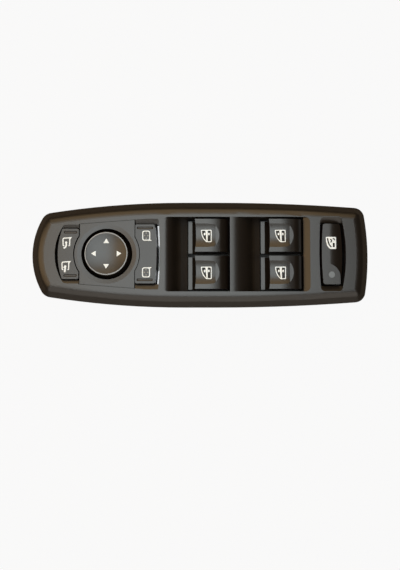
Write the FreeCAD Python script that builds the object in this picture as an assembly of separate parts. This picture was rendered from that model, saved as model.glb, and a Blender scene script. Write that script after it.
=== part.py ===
import FreeCAD, Part
import math
import os
from collections import namedtuple

# Door-mounted window and mirror switch panel, in millimetres.
# +X runs along the panel to the rear of the car, +Y to the right-hand windows, +Z out of the trim.
# The plane z = 0 is the underside of the bezel's rim, which sits on the door trim.

V = FreeCAD.Vector
X = V(1, 0, 0)
Y = V(0, 1, 0)
Z = V(0, 0, 1)

# Window rockers and the wells in front of them, along X
SCOOP = 14.3
SCOOP_ROLL = 7.5
SCOOP_FALL = 3.0
RIDGE_ROLL = 15.0
RIDGE_FALL = 1.0
RIDGE_LAND = 0.4
SCOOP_STEEP = 52.0
SCOOP_EASE = 20.0
SCOOP_HOLLOW = 6.0
LIP_GAP = 0.55
LIP_REACH = 3.95
CAP_LENGTH = 20.2
CAP_REAR_GAP = 0.65
RIDGE = 4.15
REAR_SLOPE = 3.65
REAR_DROP = 2.2

# The same rockers and wells, across Y
CAP_WIDTH = 19.5
CAP_SPLIT = 2.4
WELL_SIDE_GAP = 1.5
SIDE_LAND = 9.4

# Mirror controls, along X
FRONT_LAND = 14.5
FOLD_MID = 9.1
SELECT_MID = 9.8
ROCKER_SIDE_GAP = 2.0
ROCKER_SEAM = 0.5
HOLE_R = 15.1
BULGE_LAND = 4.1
PLATE_FRONT = 16.0
PLATE_REAR = 16.4
MIRROR_LAND = 1.85

# Mirror controls, across Y
MIRROR_STEP = 0.65
MIRROR_TAPER = 4.25
MIRROR_BOW_FRONT = 5.3
MIRROR_BOW_REAR = 1.0
MIRROR_CORNER = 1.6
SEAM = 0.2
SLIM_CORNER = 0.9
FOLD_END_LAND = 2.6
SELECT_END_LAND = 3.5
FOLD_BOW = 2.6
SELECT_BOW = 1.2

# Child-lock rocker
LOCK_LAND = 5.4
LOCK_GAP = 1.35
LOCK_WIDTH = 12.4
REAR_LAND = 14.1
LOCK_HALF = 18.0
LOCK_END_LAND = 4.0
LOCK_BOW = 1.3
LOCK_SLOT_BOW = 0.8
LOCK_SLOT_REAR_BOW = 2.6
LOCK_SLOT_CORNER = 2.4
LOCK_CORNER = 1.5
LOCK_FALL_R = 14.0
LOCK_FALL_FROM = 1.5
LOCK_STEP = 0.35
LOCK_ROOF = 4.2
LENS_R = 1.8
LENS_FOOT = 0.8
LENS_PROUD = 0.1
LENS_AHEAD = 0.5
LENS_FROM_END = 5.7

# Curves of the outline seen from above
FLAT_HALF = 10.0
SIDE_R_FRONT = 520.0
SIDE_R_REAR = 1106.0
END_R_FRONT = 45.0
END_R_REAR = 150.0
CORNER_R_FRONT = 7.0
CORNER_R_REAR = 6.4
SMALLEST_R = 1.0
SMALLEST_CORNER = 0.1
ROLL_SHARE = 0.85

# Section of the bezel
TOP = 6.5
RIM_EDGE = 1.2
ROLL_R = 6.5
SLOPE_ANGLE = 45.0
LAND_OVER_WALL = 1.9
OVERLAP = 0.5
RIM_WALL = 2.2
PLATE = 2.2
TUBE_WALL = 2.0
DECK_DEPTH = 9.0
WELL_CORNER = 3.0
RAMP_DROP = 4.0
RAMP_THICK = 2.0
ROCKER_END_GAP = 0.6

# Knob, its ring and the joystick below it
KNOB_R = 12.8
KNOB_TOP = 9.0
KNOB_DISH = 0.7
KNOB_WALL = 1.6
RING_WIDTH = 1.0
RING_DEPTH = 1.2
DRUM_STEP = 0.3
RING_PROUD = 0.25
RING_SOFT = 0.25
HOLE_BEVEL = 2.5
HOLE_BEVEL_DEPTH = 0.35
HOLE_TUBE = 1.6
LEG = 2.0
LEG_WIDTH = 3.0
LEG_INSET = 1.0
LEG_GAP = 0.4
COLLAR_GAP = 0.3
COLLAR_SKIRT = 1.5
KNOB_PIVOT_Z = -3.0
STEM_R = 3.5
STEM_LENGTH = 13.5
STEM_FOOT_R = 8.0
STEM_FOOT = 1.5
COLLET = 3.5
COLLET_WALL = 1.5
FOOT_TAPER = 1.0
PIN_SHORT = 0.3
GIMBAL_IN_R = 6.0
GIMBAL_OUT_R = 8.5
GIMBAL_HEIGHT = 5.0
GIMBAL_POST = 2.4
GIMBAL_POST_HALF = 2.6
STEM_WINDOW = 0.6
PIVOT_R = 1.45
RUNNING_GAP = 0.05
POST_GAP = 0.3
MAT_BASE = 1.0
MAT_BORDER = 2.0
DOMES = 4
DOME_R = 2.6
DOME_INSET = 2.4
DOME_TAPER = 1.0
DOME_GAP = 0.9

# Window rocker section
CAP_PROUD = 1.5
CAP_WALL = 1.5
DISH_WIDTH = 13.9
DISH_LENGTH = 14.3
DISH_END_R = 8.8
DISH_DEPTH = 1.5
DISH_ACROSS = 20.0
DISH_RISE = 0.035
DISH_END_SLOPE = 1.2
DISH_SIDE_SLOPE = 0.25
BACK_DROP = 6.1
BACK_SKIRT = 2.5
BACK_SHOULDER = 0.4
ARM_SUNK = 3.4
LIP_TOP = -2.0
LIP_BOTTOM = -5.2
LIP_BAR = 2.35
BAR_EDGE = 0.6
GROOVE_FLOOR = -4.2
GROOVE_BACK = 0.8
GROOVE_DROP = 1.4
LIP_SHARE = 0.6
ROOF_FALL = 5.9
BACK_WALL = 1.3
BACK_ROOM = 0.7
FRONT_NOSE = 1.6
NOSE_BOW = 0.7
PIVOT_BACK = 4.1
PIVOT_Z = -1.0

# Slim rockers: mirror fold, mirror select and child lock
SLIM_PROUD = 0.8
SLIM_WALL = 1.2
SLIM_ROOF = 1.9
SLIM_SKIRT_Z = -4.0
GRIP_INSET = 2.1
GRIP_WIDTH = 1.5
GRIP_DEPTH = 0.5
GRIP_SIDE = 0.9

# Pivot posts on the deck and the arms that hang between them
POST_FRONT = 2.4
POST_BACK = 2.2
POST_RISE = 1.8
POST_THICK = 2.4
SLIM_POST = 1.5
ARM = 16.0
ARM_THICK = 2.0
ARM_WIDTH = 4.0
SLIM_ARM = 2.0
ARM_END_R = 1.3
ARM_ROOT = 0.5
STUD_SHORT = 0.1
ARM_CLEAR = 0.6
DECK_SLOT = 3.2

# Contact sliders, circuit board and what is on it
SLIDER_LENGTH = 10.0
SLIDER_WIDTH = 7.0
SLIM_SLIDER = 5.0
SLIDER_HEIGHT = 4.5
SLIDER_GAP = 0.15
SLIDER_FLOOR = 0.8
GUIDE_GAP = 0.2
GUIDE_WALL = 1.0
TRAVEL = 1.8
WIPER_WIDTH = 2.0
WIPER_THICK = 0.4
WIPER_INSET = 0.8
WIPER_FOOT = 0.7
SLOT_SPARE = 0.4
BOARD_GAP = 0.1
BOARD = 1.6
LAMP_LENGTH = 3.2
LAMP_WIDTH = 2.8
LAMP_HEIGHT = 1.8
LAMP_TAPER = 0.25
LAMP_OFF = 4.0
CHIP_AWAY = 12.0
CHIP_LENGTH = 10.0
CHIP_WIDTH = 7.0
CHIP_THICK = 1.8
CHIP_LIFT = 0.2
CHIP_LEGS = 8
CHIP_LEG = 0.4
CHIP_LEG_REACH = 1.3
CHIP_LEG_ROOT = 0.3
CHIP_LEG_HEIGHT = 0.9
CHIP_PITCH = 1.27
TALL_CAN_R = 3.0
TALL_CAN = 6.0
LOW_CAN_R = 2.4
LOW_CAN = 4.5
CAN_PITCH = 9.0
CANS = 3
CANS_FROM_END = 36.0
CAN_Y = 6.0
RESISTORS = 4
RESISTOR_PITCH = 4.0
RESISTORS_FROM_END = 14.0
RESISTOR_LENGTH = 3.2
RESISTOR_WIDTH = 1.6
RESISTOR_THICK = 0.6

# Housing and rear cover
DECK = 2.0
FLANGE_INSET = 4.1
HOUSING_WALL = 2.0
HOUSING_DEPTH = 22.0
HOUSING_CORNER = 3.0
FLANGE_FRONT = 19.0
FLANGE_MID = 3.0
FLANGE_REAR = 6.0
FLANGE_DROP = 1.0
END_STEP = 1.0
HEAD_CLEAR = 0.3
COVER = 2.0
COVER_GAP = 0.2
COVER_RIB = 1.2
COVER_RIB_HEIGHT = 2.5
PILLAR_R = 2.0
PILLAR_Y = 12.0
PILLAR_PAST_SOCKET = 12.0
PILLAR_AHEAD_OF_LOCK = 4.0

# Connector on the underside
CONNECTOR_X = 0.0
SHROUD_LENGTH = 29.3
SHROUD_WIDTH = 15.2
SHROUD_CORNER = 1.9
SOCKET_ROOF = 2.0
CAVITY_X0 = -12.3
CAVITY_X1 = 11.6
CAVITY_Y0 = -2.8
CAVITY_Y1 = 6.1
KEYWAY_R = 1.3
KEYWAY_X = 12.3
KEYWAY_Y = 2.3
EMPTY_HOLE = 1.2
PIN_COLUMNS = 8
FIRST_PIN = 3.75
PIN_ROW_Y = 0.5
PIN_PITCH = 2.54
PIN_ROW = 3.5
PIN_SIDE = 0.63
PIN_GAP = 0.04
PIN_TIP = 0.6
PIN_POINT = 0.5
PIN_SUNK = 2.5
PIN_ABOVE_BOARD = 0.5
BOARD_HOLE_R = 0.5

# Screws, mounting bosses and spring clips
BOSS_R = 2.7
BOSS_GAP = 0.1
SCREW_R = 1.45
SCREW_HOLE_R = 1.65
SCREW_HEAD_R = 2.5
SCREW_HEAD = 1.8
SCREW_DRIVE = 3.2
SCREW_DRIVE_SLOT = 0.8
FRONT_BOSS_AHEAD = 4.0
MID_BOSS = 5.0
REAR_BOSS = 16.0
BOSS_TUBE_SHARE = 0.3
SCREW_DEPTH = 9.0
SCREW_SPARE = 1.0
MOUNT_INSET = 7.5
MOUNT_BOSS_R = 3.0
MOUNT_HOLE_R = 1.25
MOUNT_DEPTH = 8.0
MOUNT_FACE_Z = -6.0
CLIP_FROM_MIRROR = 12.5
CLIP_FROM_CAP = 33.0
CLIP_WIDTH = 7.0
CLIP_STRIP = 0.5
CLIP_BULGE = 0.6
CLIP_KNEE = 3.5
CLIP_TOP_Z = -2.0
TAB = 1.4
TAB_MARGIN = 1.0
TAB_GAP = 1.2
GUIDE_STRIP = 0.8
GUIDE_STRIP_GAP = 0.3
GUIDE_STRIP_TOP = 1.0
GUIDE_NOTCH = 2.5
GUIDE_NOTCH_LOW = -9.6
GUIDE_NOTCH_HIGH = 5.6

# Places along X, worked out from the chain of sizes above
CAP_CELL = SCOOP + LIP_GAP + LIP_REACH + CAP_LENGTH + CAP_REAR_GAP
WELL = 2 * CAP_CELL + RIDGE + REAR_SLOPE
BULGE_R = HOLE_R + BULGE_LAND
MIRROR_OPENING = 2 * (ROCKER_SIDE_GAP + ROCKER_SEAM + BULGE_R) + FOLD_MID + SELECT_MID
LOCK_SLOT = LOCK_GAP + LOCK_WIDTH + ROCKER_SIDE_GAP
LENGTH = FRONT_LAND + MIRROR_OPENING + MIRROR_LAND + WELL + LOCK_LAND + LOCK_SLOT + REAR_LAND
FRONT_END = -LENGTH / 2
REAR_END = LENGTH / 2
MIRROR_X0 = FRONT_END + FRONT_LAND
MIRROR_X1 = MIRROR_X0 + MIRROR_OPENING
FOLD_X0 = MIRROR_X0 + ROCKER_SIDE_GAP
FOLD_MID_X1 = FOLD_X0 + FOLD_MID
KNOB_X = FOLD_MID_X1 + ROCKER_SEAM + BULGE_R
PLATE_X0 = KNOB_X - PLATE_FRONT
PLATE_X1 = KNOB_X + PLATE_REAR
FOLD_X1 = PLATE_X0 - ROCKER_SEAM
SELECT_X0 = PLATE_X1 + ROCKER_SEAM
SELECT_MID_X0 = KNOB_X + BULGE_R + ROCKER_SEAM
SELECT_X1 = MIRROR_X1 - ROCKER_SIDE_GAP
WELL_X0 = MIRROR_X1 + MIRROR_LAND
WELL_X1 = WELL_X0 + WELL
BANK_PITCH = CAP_CELL + RIDGE
CAP_X0 = WELL_X0 + SCOOP + LIP_GAP + LIP_REACH
FRONT_PIVOT_X = CAP_X0 + CAP_LENGTH - PIVOT_BACK
REAR_PIVOT_X = FRONT_PIVOT_X + BANK_PITCH
LOCK_X0 = WELL_X1 + LOCK_LAND
LOCK_X1 = LOCK_X0 + LOCK_SLOT
LOCK_CAP_X0 = LOCK_X0 + LOCK_GAP
LOCK_CAP_X1 = LOCK_CAP_X0 + LOCK_WIDTH
LOCK_MID_X = LOCK_CAP_X0 + LOCK_WIDTH / 2
LENS_X = LOCK_MID_X - LENS_AHEAD
HOUSING_X0 = MIRROR_X0 - TUBE_WALL
HOUSING_X1 = LOCK_X1 + TUBE_WALL
BOARD_X1 = HOUSING_X1 - END_STEP - HOUSING_WALL - COVER_GAP
CHIP_X = CONNECTOR_X - SHROUD_LENGTH / 2 - CHIP_AWAY

# Places across Y
CAP_Y = (CAP_SPLIT + CAP_WIDTH) / 2
WELL_HALF = CAP_SPLIT / 2 + CAP_WIDTH + WELL_SIDE_GAP
HALF_WIDTH = WELL_HALF + SIDE_LAND
MIRROR_HALF_REAR = WELL_HALF - MIRROR_STEP
MIRROR_HALF_FRONT = MIRROR_HALF_REAR - MIRROR_TAPER
LOCK_SLOT_HALF = LOCK_HALF + LOCK_END_LAND
LENS_Y = LENS_FROM_END - LOCK_HALF
BOSS_Y = WELL_HALF + BOSS_GAP + BOSS_R
BODY_STEP = HALF_WIDTH - FLANGE_INSET - BOSS_Y + SCREW_HEAD_R + HEAD_CLEAR

# Heights
SLOPE = math.radians(SLOPE_ANGLE)
CREASE = (TOP - RIM_EDGE) / math.tan(SLOPE)
PLATE_Z = TOP - PLATE
DECK_Z = -DECK_DEPTH
DECK_UNDER = DECK_Z - DECK
HOUSING_BOTTOM = DECK_UNDER - HOUSING_DEPTH
REST_Z = HOUSING_BOTTOM - COVER
CAP_TOP = TOP + CAP_PROUD
SLIM_TOP = TOP + SLIM_PROUD
STEM_FOOT_Z = KNOB_PIVOT_Z - STEM_LENGTH
KNOB_CEILING = KNOB_TOP - KNOB_DISH - KNOB_WALL
ARM_END_Z = PIVOT_Z - ARM
SLOT_FLOOR_Z = ARM_END_Z - ARM_END_R - 2 * SLIDER_GAP
SLIDER_BOTTOM = SLOT_FLOOR_Z - SLIDER_FLOOR
BOARD_TOP = SLIDER_BOTTOM - WIPER_THICK - BOARD_GAP
BOARD_UNDER = BOARD_TOP - BOARD
CAVITY_DEPTH = BOARD_UNDER - SOCKET_ROOF - REST_Z


def mirror_half_at(x):
    """Half width of the mirror opening, which flares towards the windows."""
    front = MIRROR_X0 + MIRROR_BOW_FRONT
    rear = MIRROR_X1 - MIRROR_BOW_REAR
    return MIRROR_HALF_FRONT + (MIRROR_HALF_REAR - MIRROR_HALF_FRONT) * (x - front) / (rear - front)


FOLD_HALF = mirror_half_at((FOLD_X0 + FOLD_X1) / 2) - FOLD_END_LAND
SELECT_HALF = mirror_half_at((SELECT_X0 + SELECT_X1) / 2) - SELECT_END_LAND

# Each rocker's pivot: half is the cap's half width there, and turns counts quarter turns about the vertical
Pivot = namedtuple("Pivot", "name x y half wall post arm slider turns")


def window_pivot(name, x, y):
    return Pivot(name, x, y, CAP_WIDTH / 2, CAP_WALL, POST_THICK, ARM_WIDTH, SLIDER_WIDTH, 0)


def slim_pivot(name, x0, x1):
    return Pivot(name, (x0 + x1) / 2, 0, (x1 - x0) / 2, SLIM_WALL, SLIM_POST, SLIM_ARM, SLIM_SLIDER, 1)


WINDOW_PIVOTS = [
    window_pivot("front_right_window", FRONT_PIVOT_X, CAP_Y),
    window_pivot("front_left_window", FRONT_PIVOT_X, -CAP_Y),
    window_pivot("rear_right_window", REAR_PIVOT_X, CAP_Y),
    window_pivot("rear_left_window", REAR_PIVOT_X, -CAP_Y),
]
FOLD_PIVOT = slim_pivot("mirror_fold", FOLD_X0, FOLD_MID_X1)
SELECT_PIVOT = slim_pivot("mirror_select", SELECT_MID_X0, SELECT_X1)
LOCK_PIVOT = slim_pivot("child_lock", LOCK_CAP_X0, LOCK_CAP_X1)
PIVOTS = WINDOW_PIVOTS + [FOLD_PIVOT, SELECT_PIVOT, LOCK_PIVOT]

# S-shaped crest across the child-lock rocker, as shares of its half width and half length
LOCK_CREST = [(-1.04, 1.05), (-0.84, 0.46), (-0.79, 0.02), (-0.65, -0.16), (-0.24, -0.31), (0.27, -0.42),
              (0.63, -0.59), (0.74, -0.86), (0.75, -1.05)]

# Coding slots and the latch slot beside the socket's cavity: from x, to x, down to y
SOCKET_SLOTS = [(-11.6, -9.8, -5.2), (-8.6, -6.8, -5.2), (-5.4, 6.2, -4.6), (-2.6, 3.4, -6.2),
                (7.4, 8.8, -5.2), (9.8, 11.2, -5.2)]

# Places in the socket that carry no pin, as (column, row)
EMPTY_PLACES = [(1, 0), (1, 1), (4, 1)]


def polygon(points, plane="xy", at=0.0):
    """A wire through flat points, in the plane named, at the given height off it."""
    place = {
        "xy": lambda a, b: V(a, b, at),
        "xz": lambda a, b: V(a, at, b),
        "yz": lambda a, b: V(at, a, b),
    }[plane]
    corners = [place(a, b) for a, b in points]
    return Part.makePolygon(corners + corners[:1])


def prism(points, low, high, plane="xy"):
    """Extrude a flat outline from low to high, square to its plane."""
    along = {"xy": Z, "xz": Y, "yz": X}[plane]
    face = Part.Face(polygon(points, plane, low))
    return face.extrude(along * (high - low))


def rounded(points, radius, low, high):
    """Extrude a flat outline up Z, with its corners rounded."""
    count = len(points)
    edges = []
    bends = []
    for i in range(count):
        here = V(*points[i], low)
        before = V(*points[i - 1], low) - here
        after = V(*points[(i + 1) % count], low) - here
        half = before.getAngle(after) / 2
        reach = min(radius / math.tan(half), 0.45 * before.Length, 0.45 * after.Length)
        bend = reach * math.tan(half)
        before.normalize()
        after.normalize()
        middle = (before + after).normalize()
        centre = here + middle * (bend / math.sin(half))
        bends.append((here + before * reach, centre - middle * bend, here + after * reach))
    for i in range(count):
        enter, crown, leave = bends[i]
        edges.append(Part.Arc(enter, crown, leave).toShape())
        edges.append(Part.makeLine(leave, bends[(i + 1) % count][0]))
    return Part.Face(Part.Wire(edges)).extrude(Z * (high - low))


def box(x0, x1, y0, y1, z0, z1):
    return Part.makeBox(x1 - x0, y1 - y0, z1 - z0, V(x0, y0, z0))


def rectangle(x, y, half_l, half_w):
    """Corners of a rectangle round a centre, in order."""
    return [(x - half_l, y - half_w), (x + half_l, y - half_w),
            (x + half_l, y + half_w), (x - half_l, y + half_w)]


def tapered(x, y, low_half, high_half, low, high):
    """Block that narrows from one half-size rectangle to another."""
    ends = [polygon(rectangle(x, y, *low_half), "xy", low), polygon(rectangle(x, y, *high_half), "xy", high)]
    return Part.makeLoft(ends, True, True)


def rod(x, y, z, radius, length, axis=Z):
    return Part.makeCylinder(radius, length, V(x, y, z), axis)


def turned(edges, x, y):
    """Revolve edges drawn in the plane y = 0 round the vertical axis there, then move the solid to x, y."""
    solid = Part.Face(Part.Wire(edges)).revolve(V(0, 0, 0), Z, 360)
    solid.translate(V(x, y, 0))
    return solid


def path(*points):
    """Straight edges through (radius, height) points."""
    places = [V(r, 0, z) for r, z in points]
    return [Part.makeLine(a, b) for a, b in zip(places, places[1:])]


def fuse(shapes):
    whole = shapes[0].multiFuse(shapes[1:])
    return whole.removeSplitter()


def both_sides(shape):
    """A shape and its mirror image across the panel's centre plane."""
    return [shape, shape.mirror(V(0, 0, 0), Y)]


def corner_of(centre_a, radius_a, centre_b, radius_b, sign):
    """Where two circles cross, towards the end of the panel that sign gives."""
    span = centre_b - centre_a
    distance = span.Length
    along = (radius_a ** 2 - radius_b ** 2 + distance ** 2) / (2 * distance)
    aside = math.sqrt(radius_a ** 2 - along ** 2)
    direction = span / distance
    side = V(-direction.y, direction.x, 0)
    options = [centre_a + direction * along + side * aside * s for s in (1, -1)]
    return max(options, key=lambda point: sign * point.x)


def outline(inset, z):
    """The bezel's outline seen from above, drawn in by an even inset."""
    half = HALF_WIDTH - inset
    ends = []
    for sign, side_r, end_r, corner_r in (
        (-1, SIDE_R_FRONT, END_R_FRONT, CORNER_R_FRONT),
        (1, SIDE_R_REAR, END_R_REAR, CORNER_R_REAR),
    ):
        small = max(corner_r - inset, SMALLEST_R)
        side_c = V(sign * FLAT_HALF, HALF_WIDTH - side_r, 0)
        end_c = V(sign * (LENGTH / 2 - end_r), 0, 0)
        centre = corner_of(side_c, side_r - inset - small, end_c, end_r - inset - small, sign)
        on_side = centre + (centre - side_c).normalize() * small
        on_end = centre + (centre - end_c).normalize() * small
        crown = centre + ((on_side + on_end) / 2 - centre).normalize() * small
        flat = V(sign * FLAT_HALF, half, 0)
        bow = side_c + ((flat + on_side) / 2 - side_c).normalize() * (side_r - inset)
        tip = V(sign * (LENGTH / 2 - inset), 0, 0)
        ends.append((flat, bow, on_side, crown, on_end, tip))

    def low(point):
        return V(point.x, -point.y, z)

    def up(point):
        return V(point.x, point.y, z)

    (f_flat, f_bow, f_side, f_crown, f_end, f_tip), (r_flat, r_bow, r_side, r_crown, r_end, r_tip) = ends
    edges = [
        Part.makeLine(up(f_flat), up(r_flat)),
        Part.Arc(up(r_flat), up(r_bow), up(r_side)).toShape(),
        Part.Arc(up(r_side), up(r_crown), up(r_end)).toShape(),
        Part.Arc(up(r_end), up(r_tip), low(r_end)).toShape(),
        Part.Arc(low(r_end), low(r_crown), low(r_side)).toShape(),
        Part.Arc(low(r_side), low(r_bow), low(r_flat)).toShape(),
        Part.makeLine(low(r_flat), low(f_flat)),
        Part.Arc(low(f_flat), low(f_bow), low(f_side)).toShape(),
        Part.Arc(low(f_side), low(f_crown), low(f_end)).toShape(),
        Part.Arc(low(f_end), up(f_tip), up(f_end)).toShape(),
        Part.Arc(up(f_end), up(f_crown), up(f_side)).toShape(),
        Part.Arc(up(f_side), up(f_bow), up(f_flat)).toShape(),
    ]
    return Part.Wire(edges)


def bowed(left, left_bow, left_half, right, right_bow, right_half, low, high, corner=0.0):
    """A four-sided plan whose two short sides bow outwards, extruded up Z, with its corners rounded."""
    a = V(left + left_bow, left_half, low)
    b = V(right - right_bow, right_half, low)
    c = V(right - right_bow, -right_half, low)
    d = V(left + left_bow, -left_half, low)
    right_side = Part.Arc(b, V(right, 0, low), c).toShape() if right_bow else Part.makeLine(b, c)
    left_side = Part.Arc(d, V(left, 0, low), a).toShape() if left_bow else Part.makeLine(d, a)
    wire = Part.Wire([Part.makeLine(a, b), right_side, Part.makeLine(c, d), left_side])
    solid = Part.Face(wire).extrude(Z * (high - low))
    if corner < SMALLEST_CORNER:
        return solid
    upright = [edge for edge in solid.Edges if abs(edge.BoundBox.ZLength - (high - low)) < 1e-6]
    return solid.makeFillet(corner, upright)


def mirror_opening(grow, low, high):
    return bowed(MIRROR_X0 - grow, MIRROR_BOW_FRONT, MIRROR_HALF_FRONT + grow,
                 MIRROR_X1 + grow, MIRROR_BOW_REAR, MIRROR_HALF_REAR + grow, low, high, MIRROR_CORNER + grow)


def lock_opening(grow, low, high):
    return bowed(LOCK_X0 - grow, LOCK_SLOT_BOW, LOCK_SLOT_HALF + grow,
                 LOCK_X1 + grow, LOCK_SLOT_REAR_BOW, LOCK_SLOT_HALF + grow, low, high, LOCK_SLOT_CORNER + grow)


def well_opening(grow, low, high):
    half = WELL_HALF + grow
    left = WELL_X0 - grow
    right = WELL_X1 + grow
    corners = [(left, -half), (right, -half), (right, half), (left, half)]
    return rounded(corners, WELL_CORNER, low, high)


def boss_places():
    """Screw bosses between bezel and housing, as (x, y) on the upper half."""
    front_x = KNOB_X - FRONT_BOSS_AHEAD
    front_y = mirror_half_at(front_x) + TUBE_WALL + BOSS_R - BOSS_TUBE_SHARE
    return [(front_x, front_y), (WELL_X0 + BOSS_R + MID_BOSS, BOSS_Y), (WELL_X1 - REAR_BOSS, BOSS_Y)]


def clip_places():
    return [MIRROR_X1 - CLIP_FROM_MIRROR, CAP_X0 + CLIP_FROM_CAP]


def flange_y(x):
    """Edge of the housing's flange, an even step in from the rim on the long side; clips stand on it too."""
    side_r = SIDE_R_FRONT if x < 0 else SIDE_R_REAR
    run = max(abs(x) - FLAT_HALF, 0.0)
    return HALF_WIDTH - side_r + math.sqrt(side_r ** 2 - run ** 2) - FLANGE_INSET


def scoop(left, start, end, roll, fall):
    """Finger well: rolls over from the top face, falls and eases out towards the lips, as an even wall."""
    steep = math.radians(SCOOP_STEEP)
    ease = math.radians(SCOOP_EASE)
    roll = min(roll, (end - start) * ROLL_SHARE)

    def on_roll(turn):
        return V(start + roll * math.sin(turn), 0, TOP - roll + roll * math.cos(turn))

    top = on_roll(steep)
    foot = top + V(fall * math.cos(steep), 0, -fall * math.sin(steep))

    def on_hollow(turn):
        across = math.sin(steep) - math.sin(turn)
        return foot + V(across, 0, math.cos(steep) - math.cos(turn)) * SCOOP_HOLLOW

    out = on_hollow(ease)
    last = V(end, 0, out.z - (end - out.x) * math.tan(ease))
    edges = [
        Part.makeLine(V(left, 0, TOP), V(start, 0, TOP)),
        Part.Arc(V(start, 0, TOP), on_roll(steep / 2), top).toShape(),
        Part.makeLine(top, foot),
        Part.Arc(foot, on_hollow((steep + ease) / 2), out).toShape(),
        Part.makeLine(out, last),
        Part.makeLine(last, V(end, 0, DECK_Z)),
        Part.makeLine(V(end, 0, DECK_Z), V(left, 0, DECK_Z)),
        Part.makeLine(V(left, 0, DECK_Z), V(left, 0, TOP)),
    ]
    solid = Part.Face(Part.Wire(edges)).extrude(Y * (2 * WELL_HALF))
    solid.translate(V(0, -WELL_HALF, 0))
    below = solid.copy()
    below.translate(V(-TUBE_WALL, 0, -TUBE_WALL))
    room = box(left + TUBE_WALL, end, -WELL_HALF, WELL_HALF, DECK_Z - TUBE_WALL, TOP)
    slot = box(left + TUBE_WALL, end - TUBE_WALL, -WELL_HALF, WELL_HALF, DECK_Z, DECK_Z + OVERLAP)
    return solid.cut(below.common(room)).cut(slot)


def rear_slope():
    """Slope behind the rear rockers, up from beside their backs to the top face."""
    foot = WELL_X1 - REAR_SLOPE
    root = WELL_X1 + TUBE_WALL / 2
    points = [(foot, DECK_Z), (foot, TOP - REAR_DROP), (WELL_X1, TOP), (root, TOP - TUBE_WALL / 2),
              (root, DECK_Z)]
    return prism(points, -WELL_HALF, WELL_HALF, "xz")


def slot_ramp(edge, end, x0, x1):
    """Relief that falls from the top face to the end of a slim rocker."""
    root = edge + TUBE_WALL
    under = TOP - RAMP_DROP - RAMP_THICK
    points = [(edge, TOP), (end, TOP - RAMP_DROP), (end, under), (root, under), (root, TOP)]
    return prism(points, x0, x1, "yz")


def border_shell():
    """The bezel's top and its sloped border with a rolled crease, as an even wall open below."""
    skirt = Part.Face(outline(0, 0)).extrude(Z * RIM_EDGE)
    slope = Part.makeLoft([outline(0, RIM_EDGE), outline(CREASE, TOP)], True, True)
    outer = fuse([skirt, slope])
    crease = [edge for edge in outer.Edges if all(abs(end.Z - TOP) < 1e-6 for end in edge.Vertexes)]
    outer = outer.makeFillet(ROLL_R, crease)
    inside = Part.makeLoft([outline(RIM_WALL, 0), outline(CREASE + LAND_OVER_WALL, PLATE_Z)], True, True)
    return outer, outer.cut(inside)


def bezel():
    """Moulded top: border, openings with their walls, finger wells, ramps, screw bosses and clip tabs."""
    outer, shell = border_shell()
    under_plate = PLATE_Z + OVERLAP
    openings = (mirror_opening, lock_opening, well_opening)
    tubes = [opening(TUBE_WALL, DECK_Z, under_plate) for opening in openings]
    hanging = []
    pilots = []
    for x, y in boss_places():
        hanging += both_sides(rod(x, y, DECK_Z, BOSS_R, under_plate - DECK_Z))
        pilots += both_sides(rod(x, y, DECK_Z, SCREW_R + RUNNING_GAP, SCREW_DEPTH))
    for x in (FRONT_END + MOUNT_INSET, REAR_END - MOUNT_INSET):
        hanging.append(rod(x, 0, MOUNT_FACE_Z, MOUNT_BOSS_R, under_plate - MOUNT_FACE_Z))
        pilots.append(rod(x, 0, MOUNT_FACE_Z, MOUNT_HOLE_R, MOUNT_DEPTH))
    for x in clip_places():
        y = flange_y(x)
        reach = CLIP_WIDTH / 2 + TAB_MARGIN
        hanging += both_sides(box(x - reach, x + reach, y - TAB / 2, y + TAB / 2, DECK_Z + TAB_GAP, PLATE_Z))
    below_rim = box(FRONT_END, REAR_END, -HALF_WIDTH, HALF_WIDTH, DECK_Z, 0)
    hanging = [fuse([piece.common(outer), piece.common(below_rim)]) for piece in hanging]
    body = fuse([shell] + tubes + hanging)
    for opening in (mirror_opening, lock_opening, well_opening):
        body = body.cut(opening(0, DECK_Z - 1, TOP + 1))
    fold_ramp = slot_ramp(FOLD_HALF + FOLD_END_LAND, FOLD_HALF + ROCKER_END_GAP, MIRROR_X0 - 1, FOLD_X1)
    select_ramp = slot_ramp(SELECT_HALF + SELECT_END_LAND, SELECT_HALF + ROCKER_END_GAP,
                            SELECT_X0, MIRROR_X1 + 1)
    lock_ramp = slot_ramp(LOCK_SLOT_HALF, LOCK_HALF + ROCKER_END_GAP, LOCK_X0, LOCK_X1)
    ramps = [ramp.common(mirror_opening(OVERLAP, DECK_Z, TOP)) for ramp in (fold_ramp, select_ramp)]
    ramps.append(lock_ramp.common(lock_opening(OVERLAP, DECK_Z, TOP)))
    ramps = [copy for ramp in ramps for copy in both_sides(ramp)]
    ridge_x = WELL_X0 + CAP_CELL
    scoops = [scoop(WELL_X0 - TUBE_WALL / 2, WELL_X0, WELL_X0 + SCOOP, SCOOP_ROLL, SCOOP_FALL),
              scoop(ridge_x, ridge_x + RIDGE_LAND, ridge_x + RIDGE + SCOOP, RIDGE_ROLL, RIDGE_FALL)]
    body = fuse([body] + scoops + [rear_slope()] + ramps)
    for pilot in pilots:
        body = body.cut(pilot)
    return body.removeSplitter()


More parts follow.
